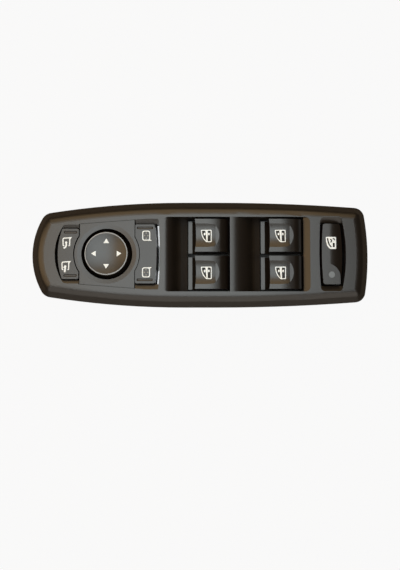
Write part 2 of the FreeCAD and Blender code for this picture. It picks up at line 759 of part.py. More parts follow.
def mirror_plate():
    """Fixed plate round the knob, with a tube and legs that stand on the housing's deck."""
    half_front = mirror_half_at(PLATE_X0) - SEAM
    half_rear = mirror_half_at(PLATE_X1) - SEAM
    corners = [(PLATE_X0, -half_front), (PLATE_X1, -half_rear), (PLATE_X1, half_rear), (PLATE_X0, half_front)]
    plate = prism(corners, PLATE_Z, TOP)
    bulge = rod(KNOB_X, 0, PLATE_Z, BULGE_R, PLATE)
    tube = rod(KNOB_X, 0, DECK_Z, HOLE_R + HOLE_TUBE, PLATE_Z - DECK_Z)
    legs = []
    for x in (PLATE_X0 + LEG_INSET, PLATE_X1 - LEG_INSET - LEG):
        reach = mirror_half_at(x) - SEAM - LEG_GAP
        legs += both_sides(box(x, x + LEG, reach - LEG_WIDTH, reach, DECK_Z, PLATE_Z))
    body = fuse([plate, bulge, tube] + legs)
    hole = rod(KNOB_X, 0, DECK_Z - 1, HOLE_R, TOP - DECK_Z + 2)
    bevel = Part.makeCone(HOLE_R, HOLE_R + HOLE_BEVEL, HOLE_BEVEL_DEPTH, V(KNOB_X, 0, TOP - HOLE_BEVEL_DEPTH))
    window = mirror_opening(-SEAM, DECK_Z, TOP)
    return body.cut(hole).cut(bevel).common(window)


def ball_arc(radius, low, high):
    """Arc of the knob's ball-shaped collar between two heights."""
    def on_ball(z):
        return V(math.sqrt(radius ** 2 - (z - KNOB_PIVOT_Z) ** 2), 0, z)
    return Part.Arc(on_ball(low), on_ball((low + high) / 2), on_ball(high)).toShape()


def mirror_knob():
    """Joystick cap: shallow dish, drum and a ball-shaped collar that hides the gap as it tilts."""
    ball_r = HOLE_R - COLLAR_GAP
    drum_r = KNOB_R - DRUM_STEP
    dish_r = KNOB_R - RING_WIDTH
    step_z = KNOB_TOP - RING_DEPTH
    meet_z = KNOB_PIVOT_Z + math.sqrt(ball_r ** 2 - drum_r ** 2)
    skirt_z = KNOB_PIVOT_Z - COLLAR_SKIRT
    skirt_r = math.sqrt(ball_r ** 2 - COLLAR_SKIRT ** 2)
    bend_r = (dish_r ** 2 + KNOB_DISH ** 2) / (2 * KNOB_DISH)
    half_way = bend_r - math.sqrt(bend_r ** 2 - (dish_r / 2) ** 2)
    low = KNOB_TOP - KNOB_DISH
    edges = [Part.Arc(V(0, 0, low), V(dish_r / 2, 0, low + half_way), V(dish_r, 0, KNOB_TOP)).toShape()]
    edges += path((dish_r, KNOB_TOP), (dish_r, step_z), (drum_r, step_z), (drum_r, meet_z))
    edges.append(ball_arc(ball_r, meet_z, skirt_z))
    edges += path((skirt_r, skirt_z), (skirt_r - KNOB_WALL, skirt_z), (ball_r - KNOB_WALL, KNOB_PIVOT_Z),
                  (drum_r - KNOB_WALL, meet_z), (drum_r - KNOB_WALL, KNOB_CEILING),
                  (0, KNOB_CEILING), (0, low))
    collet = rod(KNOB_X, 0, KNOB_CEILING - COLLET, STEM_R + COLLET_WALL, COLLET + OVERLAP)
    socket = rod(KNOB_X, 0, KNOB_CEILING - COLLET, STEM_R + RUNNING_GAP, COLLET)
    return fuse([turned(edges, KNOB_X, 0), collet.cut(socket)])


def knob_ring():
    """Silver ring seated in the step round the knob's crown."""
    z0 = KNOB_TOP - RING_DEPTH
    z1 = KNOB_TOP + RING_PROUD
    inner = KNOB_R - RING_WIDTH
    outline_points = [(inner, z0), (KNOB_R, z0), (KNOB_R, z1 - RING_SOFT), (KNOB_R - RING_SOFT, z1),
                      (inner + RING_SOFT, z1), (inner, z1 - RING_SOFT), (inner, z0)]
    return turned(path(*outline_points), KNOB_X, 0)


def joystick_stem():
    """Stem with its cross pin and the foot that presses the contact mat."""
    stem = rod(KNOB_X, 0, STEM_FOOT_Z, STEM_R, KNOB_CEILING - STEM_FOOT_Z)
    foot = Part.makeCone(STEM_FOOT_R, STEM_FOOT_R - FOOT_TAPER, STEM_FOOT, V(KNOB_X, 0, STEM_FOOT_Z))
    reach = GIMBAL_OUT_R - PIN_SHORT
    pin = rod(KNOB_X, -reach, KNOB_PIVOT_Z, PIVOT_R, 2 * reach, Y)
    return fuse([stem, foot, pin])


def gimbal_ring():
    """Ring that turns on two posts and carries the stem's cross pin."""
    z0 = KNOB_PIVOT_Z - GIMBAL_HEIGHT / 2
    ring = rod(KNOB_X, 0, z0, GIMBAL_OUT_R, GIMBAL_HEIGHT).cut(rod(KNOB_X, 0, z0, GIMBAL_IN_R, GIMBAL_HEIGHT))
    bore = rod(KNOB_X, -GIMBAL_OUT_R, KNOB_PIVOT_Z, PIVOT_R + RUNNING_GAP, 2 * GIMBAL_OUT_R, Y)
    reach = GIMBAL_OUT_R + POST_GAP + GIMBAL_POST
    pin = rod(KNOB_X - reach, 0, KNOB_PIVOT_Z, PIVOT_R, 2 * reach, X)
    pin = pin.cut(rod(KNOB_X, 0, z0, (GIMBAL_IN_R + GIMBAL_OUT_R) / 2, GIMBAL_HEIGHT))
    return fuse([ring.cut(bore), pin])


def contact_mat():
    """Rubber mat on the board with a dome under each side of the stem's foot."""
    base = rod(KNOB_X, 0, BOARD_TOP, STEM_FOOT_R + MAT_BORDER, MAT_BASE)
    ring_r = STEM_FOOT_R - DOME_INSET
    height = STEM_FOOT_Z - DOME_GAP - BOARD_TOP
    domes = []
    for i in range(DOMES):
        turn = i * 2 * math.pi / DOMES
        foot = V(KNOB_X + ring_r * math.cos(turn), ring_r * math.sin(turn), BOARD_TOP)
        domes.append(Part.makeCone(DOME_R, DOME_R - DOME_TAPER, height, foot))
    return fuse([base] + domes)


def light_guide():
    """Clear strip along the mirror opening's rear edge; its two raised ends show beside the rocker."""
    outer = mirror_opening(-GUIDE_STRIP_GAP, DECK_Z, GUIDE_STRIP_TOP)
    inner = mirror_opening(-GUIDE_STRIP_GAP - GUIDE_STRIP, DECK_Z, GUIDE_STRIP_TOP)
    side = box(SELECT_X1 - MIRROR_BOW_REAR, MIRROR_X1, -SELECT_HALF, SELECT_HALF, DECK_Z, GUIDE_STRIP_TOP)
    notch = box(SELECT_X1 - MIRROR_BOW_REAR, MIRROR_X1, GUIDE_NOTCH_LOW, GUIDE_NOTCH_HIGH,
                GUIDE_STRIP_TOP - GUIDE_NOTCH, GUIDE_STRIP_TOP)
    return outer.cut(inner).common(side).cut(notch)


def placed(shape, pivot):
    """Move a pivot-centred shape to its rocker, turned by quarter turns about the vertical."""
    shape.rotate(V(0, 0, 0), Z, 90 * pivot.turns)
    shape.translate(V(pivot.x, pivot.y, 0))
    return shape


def rocker_arm(pivot, top):
    """Arm that hangs from a rocker's roof, with the round end that pushes the slider."""
    half = pivot.arm / 2
    blade = box(-ARM_THICK / 2, ARM_THICK / 2, -half, half, ARM_END_Z, top)
    end = rod(0, -half, ARM_END_Z, ARM_END_R, pivot.arm, Y)
    return fuse([blade, end])


def pivot_holes(half):
    return rod(0, -half - 1, PIVOT_Z, PIVOT_R + RUNNING_GAP, 2 * half + 2, Y)


def pivot_posts(pivot):
    """A pair of posts on the deck, each with a stud that the rocker's side snaps over."""
    out = pivot.half - pivot.wall - POST_GAP
    into = out - pivot.post
    top = PIVOT_Z + POST_RISE
    pair = [box(-POST_FRONT, POST_BACK, -out, -into, DECK_Z, top),
            box(-POST_FRONT, POST_BACK, into, out, DECK_Z, top)]
    reach = pivot.half - STUD_SHORT
    studs = rod(0, -reach, PIVOT_Z, PIVOT_R, 2 * reach, Y)
    between = box(-POST_FRONT, POST_BACK, -into, into, DECK_Z, top)
    return fuse(pair + [studs.cut(between)])


def slider_guides(pivot):
    """Ribs under the deck that keep a slider in its lane."""
    inner = pivot.slider / 2 + GUIDE_GAP
    outer = inner + GUIDE_WALL
    reach = SLIDER_LENGTH / 2 + TRAVEL
    rails = box(-reach, reach, -outer, outer, BOARD_TOP + BOARD_GAP, DECK_UNDER + OVERLAP)
    return rails.cut(box(-reach, reach, -inner, inner, BOARD_TOP, DECK_UNDER + OVERLAP))


def contact_slider(pivot):
    """Block on the board that carries the wiper, with a slot for the arm's round end."""
    long = SLIDER_LENGTH / 2
    top = SLIDER_BOTTOM + SLIDER_HEIGHT
    block = box(-long, long, -pivot.slider / 2, pivot.slider / 2, SLIDER_BOTTOM, top)
    fit = ARM_END_R + SLIDER_GAP
    wide = pivot.arm / 2 + SLOT_SPARE
    return placed(block.cut(box(-fit, fit, -wide, wide, SLOT_FLOOR_Z, top)), pivot)


def contact_wiper(pivot):
    """Bent metal strip under a slider, with two feet that run on the board's tracks."""
    z = SLIDER_BOTTOM
    end = SLIDER_LENGTH / 2 - WIPER_INSET
    middle = z - WIPER_THICK / 2
    right = [(end - 2 * WIPER_FOOT, middle), (end - WIPER_FOOT, z - WIPER_THICK), (end, middle), (end, z)]
    left = [(-a, b) for a, b in reversed(right)]
    return placed(prism(left + right, -WIPER_WIDTH / 2, WIPER_WIDTH / 2, "xz"), pivot)


def rocker_side():
    """Side view of a window rocker from its nose at x = 0: roof, convex back, groove and lower lip."""
    end = CAP_LENGTH
    shoulder = DISH_LENGTH + BACK_SHOULDER
    back = CAP_TOP - max(BACK_DROP, end - shoulder)
    nose = CAP_TOP - FRONT_NOSE
    bar = LIP_BAR - LIP_REACH
    corners = [(shoulder, CAP_TOP), (0, CAP_TOP), (0, nose), (GROOVE_BACK, nose - GROOVE_DROP),
               (GROOVE_BACK, GROOVE_FLOOR), (bar, LIP_TOP - BAR_EDGE), (bar, LIP_TOP), (-LIP_REACH, LIP_TOP),
               (-LIP_REACH, LIP_BOTTOM), (end * LIP_SHARE, LIP_BOTTOM),
               (end, PIVOT_Z - BACK_SKIRT), (end, back)]
    run = end - shoulder
    drop = max(BACK_DROP, run)
    bend_r = (run ** 2 + drop ** 2) / (2 * drop)
    half_way = V(shoulder + run / 2, 0, CAP_TOP - bend_r + math.sqrt(bend_r ** 2 - (run / 2) ** 2))
    bend = Part.Arc(V(end, 0, back), half_way, V(shoulder, 0, CAP_TOP)).toShape()
    return Part.Face(Part.Wire(path(*corners) + [bend]))


def dish_outline(z):
    """Outline of the finger dish at a height: open past the nose, with an arc at its rear end."""
    above = z - CAP_TOP
    half = DISH_WIDTH / 2 + above * DISH_SIDE_SLOPE
    length = DISH_LENGTH + above * DISH_END_SLOPE
    sag = DISH_END_R - math.sqrt(DISH_END_R ** 2 - half ** 2)
    front = -DISH_LENGTH / 2
    corners = [(length - sag, half), (front, half), (front, -half), (length - sag, -half)]
    a, b, c, d = [V(x, y, z) for x, y in corners]
    end = Part.Arc(d, V(length, 0, z), a).toShape()
    return Part.Wire([Part.makeLine(a, b), Part.makeLine(b, c), Part.makeLine(c, d), end])


def finger_dish():
    """Hollow in a window rocker's top, curved across, deepest at the nose, with short slanted walls."""
    low = dish_outline(CAP_TOP - 1.1 * DISH_DEPTH)
    bounds = Part.makeLoft([low, dish_outline(CAP_TOP + OVERLAP)], True, True)
    along = V(1, 0, DISH_RISE)
    start = V(0, 0, CAP_TOP - DISH_DEPTH + DISH_ACROSS) - along * DISH_LENGTH
    return bounds.common(rod(*start, DISH_ACROSS, 3 * DISH_LENGTH, along))


def window_rocker(pivot):
    """Window rocker: dished top, convex back, front nose to pull and a lower lip in front of it."""
    body = rocker_side().extrude(Y * CAP_WIDTH)
    body.translate(V(0, -CAP_WIDTH / 2, 0))
    roof = CAP_TOP - DISH_DEPTH - CAP_WALL
    front = GROOVE_BACK + CAP_WALL
    rear = CAP_LENGTH - BACK_WALL
    open_z = LIP_BOTTOM - 1
    room = [(front, open_z), (front, roof), (CAP_LENGTH - ROOF_FALL, roof),
            (rear, CAP_TOP - BACK_DROP - BACK_ROOM), (rear, open_z)]
    body = body.cut(prism(room, -pivot.half + CAP_WALL, pivot.half - CAP_WALL, "xz"))
    nose_r = (pivot.half ** 2 + NOSE_BOW ** 2) / (2 * NOSE_BOW)
    nose_z = CAP_TOP - FRONT_NOSE - GROOVE_DROP
    nose = rod(NOSE_BOW - nose_r, 0, nose_z, nose_r, CAP_TOP + 1 - nose_z)
    body = body.cut(finger_dish()).cut(nose)
    body.translate(V(PIVOT_BACK - CAP_LENGTH, 0, 0))
    return placed(fuse([body.cut(pivot_holes(pivot.half)), rocker_arm(pivot, CAP_TOP - ARM_SUNK)]), pivot)


def slim_rocker(pivot, plan, roof):
    """Slim rocker from its plan function, hollow below, on the same studs and arm as the others."""
    body = plan(0, SLIM_SKIRT_Z, SLIM_TOP).cut(plan(SLIM_WALL, SLIM_SKIRT_Z - 1, SLIM_TOP - roof))
    body = body.cut(placed(pivot_holes(pivot.half), pivot))
    return fuse([body, placed(rocker_arm(pivot, SLIM_TOP - roof + ARM_ROOT), pivot)])


def with_grips(body, x0, x1, half):
    """Cut a round-bottomed grip groove across the top near each end of a slim rocker."""
    radius = ((GRIP_WIDTH / 2) ** 2 + GRIP_DEPTH ** 2) / (2 * GRIP_DEPTH)
    z = SLIM_TOP - GRIP_DEPTH + radius
    for sign in (-1, 1):
        y = sign * (half - GRIP_INSET)
        reach = GRIP_WIDTH / 2
        body = body.cut(rod(x0 + reach, y, z, radius, x1 - x0 - 2 * reach, X))
        for x in (x0 + reach, x1 - reach):
            body = body.cut(Part.makeSphere(radius, V(x, y, z)))
    return body


def fold_plan(inset, low, high):
    half = FOLD_HALF - inset
    whole = bowed(FOLD_X0 + inset, FOLD_BOW, half, FOLD_X1 - inset, 0, half, low, high,
                  SLIM_CORNER - inset)
    return whole.cut(rod(KNOB_X, 0, low - 1, BULGE_R + ROCKER_SEAM + inset, high - low + 2))


def select_plan(inset, low, high):
    half = SELECT_HALF - inset
    whole = bowed(SELECT_X0 + inset, 0, half, SELECT_X1 - inset, SELECT_BOW, half, low, high,
                  SLIM_CORNER - inset)
    return whole.cut(rod(KNOB_X, 0, low - 1, BULGE_R + ROCKER_SEAM + inset, high - low + 2))


def lock_plan(inset, low, high):
    return bowed(LOCK_CAP_X0 + inset, LOCK_SLOT_BOW, LOCK_HALF - inset, LOCK_CAP_X1 - inset, LOCK_BOW,
                 LOCK_HALF - inset, low, high, LOCK_CORNER - inset)


def mirror_fold_rocker():
    body = slim_rocker(FOLD_PIVOT, fold_plan, SLIM_ROOF)
    return with_grips(body, FOLD_X0 + FOLD_BOW + GRIP_SIDE, FOLD_X1 - GRIP_SIDE, FOLD_HALF)


def mirror_select_rocker():
    body = slim_rocker(SELECT_PIVOT, select_plan, SLIM_ROOF)
    return with_grips(body, SELECT_X0 + GRIP_SIDE, SELECT_X1 - SELECT_BOW - GRIP_SIDE, SELECT_HALF)


def child_lock_rocker():
    """Child-lock rocker: its top falls away right of an S-shaped crest; the flat pad has the lens."""
    body = slim_rocker(LOCK_PIVOT, lock_plan, LOCK_ROOF)
    floor = SLIM_TOP - LOCK_ROOF
    points = [V(LOCK_MID_X + a * LOCK_WIDTH / 2, b * LOCK_HALF, floor) for a, b in LOCK_CREST]
    crest = Part.BSplineCurve()
    crest.interpolate(points)
    rear = LOCK_CAP_X1 + 1
    low_rear = V(rear, points[-1].y, floor)
    high_rear = V(rear, points[0].y, floor)
    wire = Part.Wire([crest.toShape(), Part.makeLine(points[-1], low_rear), Part.makeLine(low_rear, high_rear),
                      Part.makeLine(high_rear, points[0])])
    beyond = Part.Face(wire).extrude(Z * (LOCK_ROOF + 1))
    long = 2 * LOCK_HALF + 4
    fall_x = LOCK_MID_X - LOCK_FALL_FROM
    upper = SLIM_TOP - LOCK_STEP
    kept = fuse([rod(fall_x, -long / 2, upper - LOCK_FALL_R, LOCK_FALL_R, long, Y),
                 box(fall_x - LOCK_WIDTH, fall_x, -long / 2, long / 2, 0, upper)])
    body = body.cut(beyond.cut(kept))
    return body.cut(rod(LENS_X, LENS_Y, 0, LENS_R + RUNNING_GAP, SLIM_TOP))


def lock_lens():
    """Lens of the child lock's lamp: a plug in the rocker's roof with a foot below it."""
    roof = SLIM_TOP - LOCK_ROOF
    plug = rod(LENS_X, LENS_Y, roof, LENS_R, LOCK_ROOF + LENS_PROUD)
    foot = rod(LENS_X, LENS_Y, roof - LENS_FOOT, LENS_R + LENS_FOOT, LENS_FOOT)
    return fuse([plug, foot])


def housing_plan(side, end, low, high):
    """Housing seen from above, drawn in by side and end: follows the bezel's taper with straight sides."""
    stations = [HOUSING_X0, HOUSING_X0 + FLANGE_FRONT, WELL_X0 - FLANGE_MID, WELL_X1 - FLANGE_REAR, HOUSING_X1]
    upper = []
    for x in stations:
        upper.append((min(max(x, HOUSING_X0 + end), HOUSING_X1 - end), flange_y(x) - side))
    upper[0] = (upper[0][0], upper[0][1] - FLANGE_DROP)
    lower = [(x, -y) for x, y in reversed(upper)]
    return rounded(lower + upper, HOUSING_CORNER, low, high)


def gimbal_posts():
    """Two posts on the deck that carry the gimbal ring's pins."""
    inner = GIMBAL_OUT_R + POST_GAP
    outer = inner + GIMBAL_POST
    half = GIMBAL_POST_HALF
    top = KNOB_PIVOT_Z + half
    posts = [box(KNOB_X - outer, KNOB_X - inner, -half, half, DECK_Z, top),
             box(KNOB_X + inner, KNOB_X + outer, -half, half, DECK_Z, top)]
    bore = rod(KNOB_X - outer - 1, 0, KNOB_PIVOT_Z, PIVOT_R + RUNNING_GAP, 2 * outer + 2, X)
    return [post.cut(bore) for post in posts]


def switch_housing():
    """Deck with a flange for the bezel, pivot posts above it and guides and walls below it."""
    deck = housing_plan(0, 0, DECK_UNDER, DECK_Z)
    walls = housing_plan(BODY_STEP, END_STEP, HOUSING_BOTTOM, DECK_UNDER)
    side = BODY_STEP + HOUSING_WALL
    walls = walls.cut(housing_plan(side, END_STEP + HOUSING_WALL, HOUSING_BOTTOM, DECK_UNDER))
    parts = [deck, walls] + gimbal_posts()
    slots = [rod(KNOB_X, 0, DECK_UNDER - 1, STEM_FOOT_R + STEM_WINDOW, DECK + 2)]
    for pivot in PIVOTS:
        parts.append(placed(pivot_posts(pivot), pivot))
        parts.append(placed(slider_guides(pivot), pivot))
        wide = pivot.arm / 2 + ARM_CLEAR
        slots.append(placed(box(-DECK_SLOT, DECK_SLOT, -wide, wide, DECK_UNDER - 1, DECK_Z + 1), pivot))
    for x, y in boss_places():
        slots += both_sides(rod(x, y, DECK_UNDER - 1, SCREW_HOLE_R, DECK + 2))
    body = fuse(parts)
    for slot in slots:
        body = body.cut(slot)
    return body


def housing_screws():
    """Six flat-headed screws from under the flange up into the bezel's bosses."""
    screws = []
    bottom = DECK_UNDER - SCREW_HEAD
    long = SCREW_DRIVE / 2
    thin = SCREW_DRIVE_SLOT / 2
    for x, y in boss_places():
        shank = rod(x, y, DECK_UNDER, SCREW_R, DECK + SCREW_DEPTH - SCREW_SPARE)
        head = rod(x, y, bottom, SCREW_HEAD_R, SCREW_HEAD)
        drive = box(x - thin, x + thin, y - long, y + long, bottom, bottom + SCREW_DRIVE_SLOT)
        cross = box(x - long, x + long, y - thin, y + thin, bottom, bottom + SCREW_DRIVE_SLOT)
        screws += both_sides(fuse([shank, head]).cut(drive).cut(cross))
    return Part.Compound(screws)


def retaining_clips():
    """Bent spring strips pressed over the bezel's tabs; their outer legs bulge to grip the trim."""
    clips = []
    thin = CLIP_STRIP
    low = DECK_Z + TAB_GAP
    knee = low + CLIP_KNEE
    for x in clip_places():
        inner = flange_y(x) - TAB / 2
        outer = flange_y(x) + TAB / 2
        points = [(inner - thin, CLIP_TOP_Z), (inner, CLIP_TOP_Z), (inner, low), (outer, low),
                  (outer + CLIP_BULGE, knee), (outer, CLIP_TOP_Z), (outer + thin, CLIP_TOP_Z),
                  (outer + CLIP_BULGE + thin, knee), (outer + thin, low - thin), (inner - thin, low - thin)]
        clips += both_sides(prism(points, x - CLIP_WIDTH / 2, x + CLIP_WIDTH / 2, "yz"))
    return Part.Compound(clips)


def pin_spot(column, row):
    return CONNECTOR_X + (column - FIRST_PIN) * PIN_PITCH, PIN_ROW_Y + row * PIN_ROW


def pin_places():
    """Thirteen of the sixteen places carry a pin."""
    places = [(column, row) for row in (0, 1) for column in range(PIN_COLUMNS)]
    return [pin_spot(*place) for place in places if place not in EMPTY_PLACES]


def circuit_board():
    inset = HOUSING_WALL + COVER_GAP
    board = housing_plan(BODY_STEP + inset, END_STEP + inset, BOARD_UNDER, BOARD_TOP)
    for x, y in pin_places():
        board = board.cut(rod(x, y, BOARD_UNDER - 1, BOARD_HOLE_R, BOARD + 2))
    return board


def connector_shroud():
    """Socket that opens downwards: pin cavity below, coding slots and a wide latch slot beside it."""
    x = CONNECTOR_X
    block = rounded(rectangle(x, 0, SHROUD_LENGTH / 2, SHROUD_WIDTH / 2), SHROUD_CORNER, REST_Z, BOARD_UNDER)
    roof = REST_Z + CAVITY_DEPTH
    cuts = [box(x + CAVITY_X0, x + CAVITY_X1, CAVITY_Y0, CAVITY_Y1, REST_Z - 1, roof)]
    for x0, x1, y0 in SOCKET_SLOTS:
        cuts.append(box(x + x0, x + x1, y0, CAVITY_Y0 + OVERLAP, REST_Z - 1, roof))
    cuts.append(rod(x + KEYWAY_X, KEYWAY_Y, REST_Z - 1, KEYWAY_R, CAVITY_DEPTH + 1))
    side = PIN_SIDE / 2 + PIN_GAP
    for px, py in pin_places():
        cuts.append(box(px - side, px + side, py - side, py + side, roof - 1, BOARD_UNDER + 1))
    side = EMPTY_HOLE / 2
    for px, py in [pin_spot(*place) for place in EMPTY_PLACES]:
        cuts.append(box(px - side, px + side, py - side, py + side, roof - 1, roof + 1))
    for cut in cuts:
        block = block.cut(cut)
    return block


def connector_pins():
    """Square pins soldered through the board, with tapered tips in the socket."""
    pins = []
    half = PIN_SIDE / 2
    point = half * PIN_POINT
    bottom = REST_Z + PIN_SUNK
    for x, y in pin_places():
        shank = box(x - half, x + half, y - half, y + half, bottom + PIN_TIP, BOARD_TOP + PIN_ABOVE_BOARD)
        tip = tapered(x, y, (point, point), (half, half), bottom, bottom + PIN_TIP)
        pins.append(fuse([shank, tip]))
    return Part.Compound(pins)


def rear_cover():
    """Flat cover with a locating rib inside the walls, pillars under the board and the socket's window."""
    plate = housing_plan(BODY_STEP, END_STEP, REST_Z, HOUSING_BOTTOM)
    inset = HOUSING_WALL + COVER_GAP
    inner = inset + COVER_RIB
    rib_top = HOUSING_BOTTOM + COVER_RIB_HEIGHT
    rib = housing_plan(BODY_STEP + inset, END_STEP + inset, HOUSING_BOTTOM, rib_top)
    rib = rib.cut(housing_plan(BODY_STEP + inner, END_STEP + inner, HOUSING_BOTTOM, rib_top))
    pillars = []
    for x in (KNOB_X, CONNECTOR_X + SHROUD_LENGTH / 2 + PILLAR_PAST_SOCKET, LOCK_X0 - PILLAR_AHEAD_OF_LOCK):
        pillars += both_sides(rod(x, PILLAR_Y, HOUSING_BOTTOM, PILLAR_R, BOARD_UNDER - HOUSING_BOTTOM))
    hole = rectangle(CONNECTOR_X, 0, SHROUD_LENGTH / 2 + COVER_GAP, SHROUD_WIDTH / 2 + COVER_GAP)
    window = rounded(hole, SHROUD_CORNER + COVER_GAP, REST_Z - 1, rib_top + 1)
    return fuse([plate, rib] + pillars).cut(window)


def lamp_places():
    """One lamp ahead of each window slider and one beyond each end of the slim rockers' sliders."""
    off = SLIDER_LENGTH / 2 + LAMP_OFF
    places = [(pivot.x - off, pivot.y) for pivot in WINDOW_PIVOTS]
    for pivot in (FOLD_PIVOT, SELECT_PIVOT, LOCK_PIVOT):
        places += [(pivot.x, pivot.y + off), (pivot.x, pivot.y - off)]
    return places


def board_lamps():
    """Small square lamps on the board, each body drawn in a little towards its top."""
    half = (LAMP_LENGTH / 2, LAMP_WIDTH / 2)
    small = (half[0] - LAMP_TAPER, half[1] - LAMP_TAPER)
    top = BOARD_TOP + LAMP_HEIGHT
    return Part.Compound([tapered(x, y, half, small, BOARD_TOP, top) for x, y in lamp_places()])


def control_chip():
    """Flat chip on the board's underside with a row of legs on each long side."""
    half_w = CHIP_WIDTH / 2
    top = BOARD_UNDER - CHIP_LIFT
    body = box(CHIP_X - CHIP_LENGTH / 2, CHIP_X + CHIP_LENGTH / 2, -half_w, half_w, top - CHIP_THICK, top)
    legs = []
    for i in range(CHIP_LEGS):
        x = CHIP_X + (i - (CHIP_LEGS - 1) / 2) * CHIP_PITCH
        legs += both_sides(box(x - CHIP_LEG / 2, x + CHIP_LEG / 2, half_w - CHIP_LEG_ROOT,
                               half_w + CHIP_LEG_REACH, BOARD_UNDER - CHIP_LEG_HEIGHT, BOARD_UNDER))
    return fuse([body] + legs)


def board_components():
    """Capacitors and resistors on the board's underside, between the socket and the board's rear end."""
    pieces = []
    for i in range(CANS):
        x = BOARD_X1 - CANS_FROM_END - i * CAN_PITCH
        pieces.append(rod(x, CAN_Y, BOARD_UNDER - TALL_CAN, TALL_CAN_R, TALL_CAN))
        pieces.append(rod(x, -CAN_Y, BOARD_UNDER - LOW_CAN, LOW_CAN_R, LOW_CAN))
    half_l = RESISTOR_WIDTH / 2
    half_w = RESISTOR_LENGTH / 2
    for i in range(RESISTORS):
        x = BOARD_X1 - RESISTORS_FROM_END - i * RESISTOR_PITCH
        pieces.append(box(x - half_l, x + half_l, -half_w, half_w, BOARD_UNDER - RESISTOR_THICK, BOARD_UNDER))
    return Part.Compound(pieces)


PARTS = {
    "bezel": bezel,
    "mirror_plate": mirror_plate,
    "mirror_knob": mirror_knob,
    "knob_ring": knob_ring,
    "joystick_stem": joystick_stem,
    "gimbal_ring": gimbal_ring,
    "contact_mat": contact_mat,
    "light_guide": light_guide,
    "mirror_fold_rocker": mirror_fold_rocker,
    "mirror_select_rocker": mirror_select_rocker,
    "child_lock_rocker": child_lock_rocker,
    "child_lock_lens": lock_lens,
    "switch_housing": switch_housing,
    "housing_screws": housing_screws,
    "retaining_clips": retaining_clips,
    "circuit_board": circuit_board,
    "connector_shroud": connector_shroud,
    "connector_pins": connector_pins,
    "rear_cover": rear_cover,
    "board_lamps": board_lamps,
    "control_chip": control_chip,
    "board_components": board_components,
}


def main():
    os.makedirs("parts", exist_ok=True)
    made = {name: make() for name, make in PARTS.items()}
    for pivot in WINDOW_PIVOTS:
        made[pivot.name + "_rocker"] = window_rocker(pivot)
    for pivot in PIVOTS:
        made[pivot.name + "_slider"] = contact_slider(pivot)
        made[pivot.name + "_wiper"] = contact_wiper(pivot)
    for name, shape in made.items():
        shape.exportStep("parts/" + name + ".step")
        size = shape.BoundBox
        heights = (round(size.ZMin, 2), round(size.ZMax, 2))
        print(name, len(shape.Solids), shape.isValid(), round(shape.Volume, 1), *heights)


main()
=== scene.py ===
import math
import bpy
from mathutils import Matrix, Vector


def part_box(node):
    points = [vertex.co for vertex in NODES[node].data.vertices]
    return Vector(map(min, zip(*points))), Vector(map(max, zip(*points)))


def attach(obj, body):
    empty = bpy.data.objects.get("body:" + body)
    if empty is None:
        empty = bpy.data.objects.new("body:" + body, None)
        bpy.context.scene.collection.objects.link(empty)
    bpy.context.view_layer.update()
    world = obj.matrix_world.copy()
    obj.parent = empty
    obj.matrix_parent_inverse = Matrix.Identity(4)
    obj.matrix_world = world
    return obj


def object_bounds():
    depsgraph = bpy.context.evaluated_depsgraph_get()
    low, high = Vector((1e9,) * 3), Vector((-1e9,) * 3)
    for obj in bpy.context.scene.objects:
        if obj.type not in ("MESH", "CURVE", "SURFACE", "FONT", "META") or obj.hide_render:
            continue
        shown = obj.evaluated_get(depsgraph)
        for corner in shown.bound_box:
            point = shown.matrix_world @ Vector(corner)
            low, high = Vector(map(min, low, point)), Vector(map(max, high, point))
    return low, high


bl_info = {
    "name": "Door switch panel",
    "version": (1, 0, 0),
    "blender": (4, 2, 0),
    "location": "View3D > Sidebar > Switch",
    "description": "Finishes, printed signs and studio for a door-mounted window and mirror switch panel",
    "category": "Object",
}

import bmesh
import bpy
from bpy.props import FloatProperty, FloatVectorProperty, PointerProperty
from mathutils import Vector
from mathutils.bvhtree import BVHTree
from mathutils.geometry import delaunay_2d_cdt

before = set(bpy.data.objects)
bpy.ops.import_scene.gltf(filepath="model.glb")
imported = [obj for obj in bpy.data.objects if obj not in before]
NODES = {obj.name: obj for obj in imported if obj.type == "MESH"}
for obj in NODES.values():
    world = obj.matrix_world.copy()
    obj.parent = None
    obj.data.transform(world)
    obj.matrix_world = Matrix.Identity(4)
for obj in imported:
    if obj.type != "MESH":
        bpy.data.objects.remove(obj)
CAD_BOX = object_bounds()
MM = 0.001

# Finishes: edges that are rounded, gloss of the moulded plastics, look of the signs and their painted glow,
# and the share of the grain that shades
EDGE_ANGLE = 32
GLOSS = 0.9
MIRROR_GLOSS = 0.8
SIGN_ROUGH = 0.45
# Strength of the painted glow on the printed signs, which are no lamps
SIGN_PAINTED_GLOW = 0.18
GRAIN_SHARE = 0.35

# Window caps: places ahead of a cap's rear end, the round end of its dish and its crescent's soft edges
SIGN_AHEAD = 13.5 * MM
SIGN_ASIDE = 0.3 * MM
DISH_END_AHEAD = 5.9 * MM
DISH_END_R = 8.8 * MM
CRESCENT_FADE = 0.9 * MM
CRESCENT_EDGE = 0.2 * MM

# Printed signs, in millimetres: step along an outline and grid inside it; then the corners of curves
PRINT_STEP = 0.3
PRINT_GRID = 0.6
CORNER_STEPS = 4
DOT_CORNERS = 16

# Triangulation of a sign: keep what lies inside its outlines, and the distance that counts as none
CDT_INSIDE = 1
CDT_NEAR = 1e-5

# Height over every piece, from which signs are dropped onto their surface
DROP_HEIGHT = 0.05

# Arrow on the knob, in millimetres from the knob's middle, and the turn of each of the four
ARROW = ((8.9, 0.0), (6.2, 1.65), (6.2, -1.65))
ARROW_TURNS = (("rear", 0), ("right", 90), ("front", 180), ("left", 270))

# Places of the slim rockers' signs, from a rocker's front end, from the lens and from the middle line
SELECT_SIGN_BACK = 6.6 * MM
LOCK_SIGN_AHEAD = 0.2 * MM
LOCK_SIGN_SIDE = 6.55 * MM

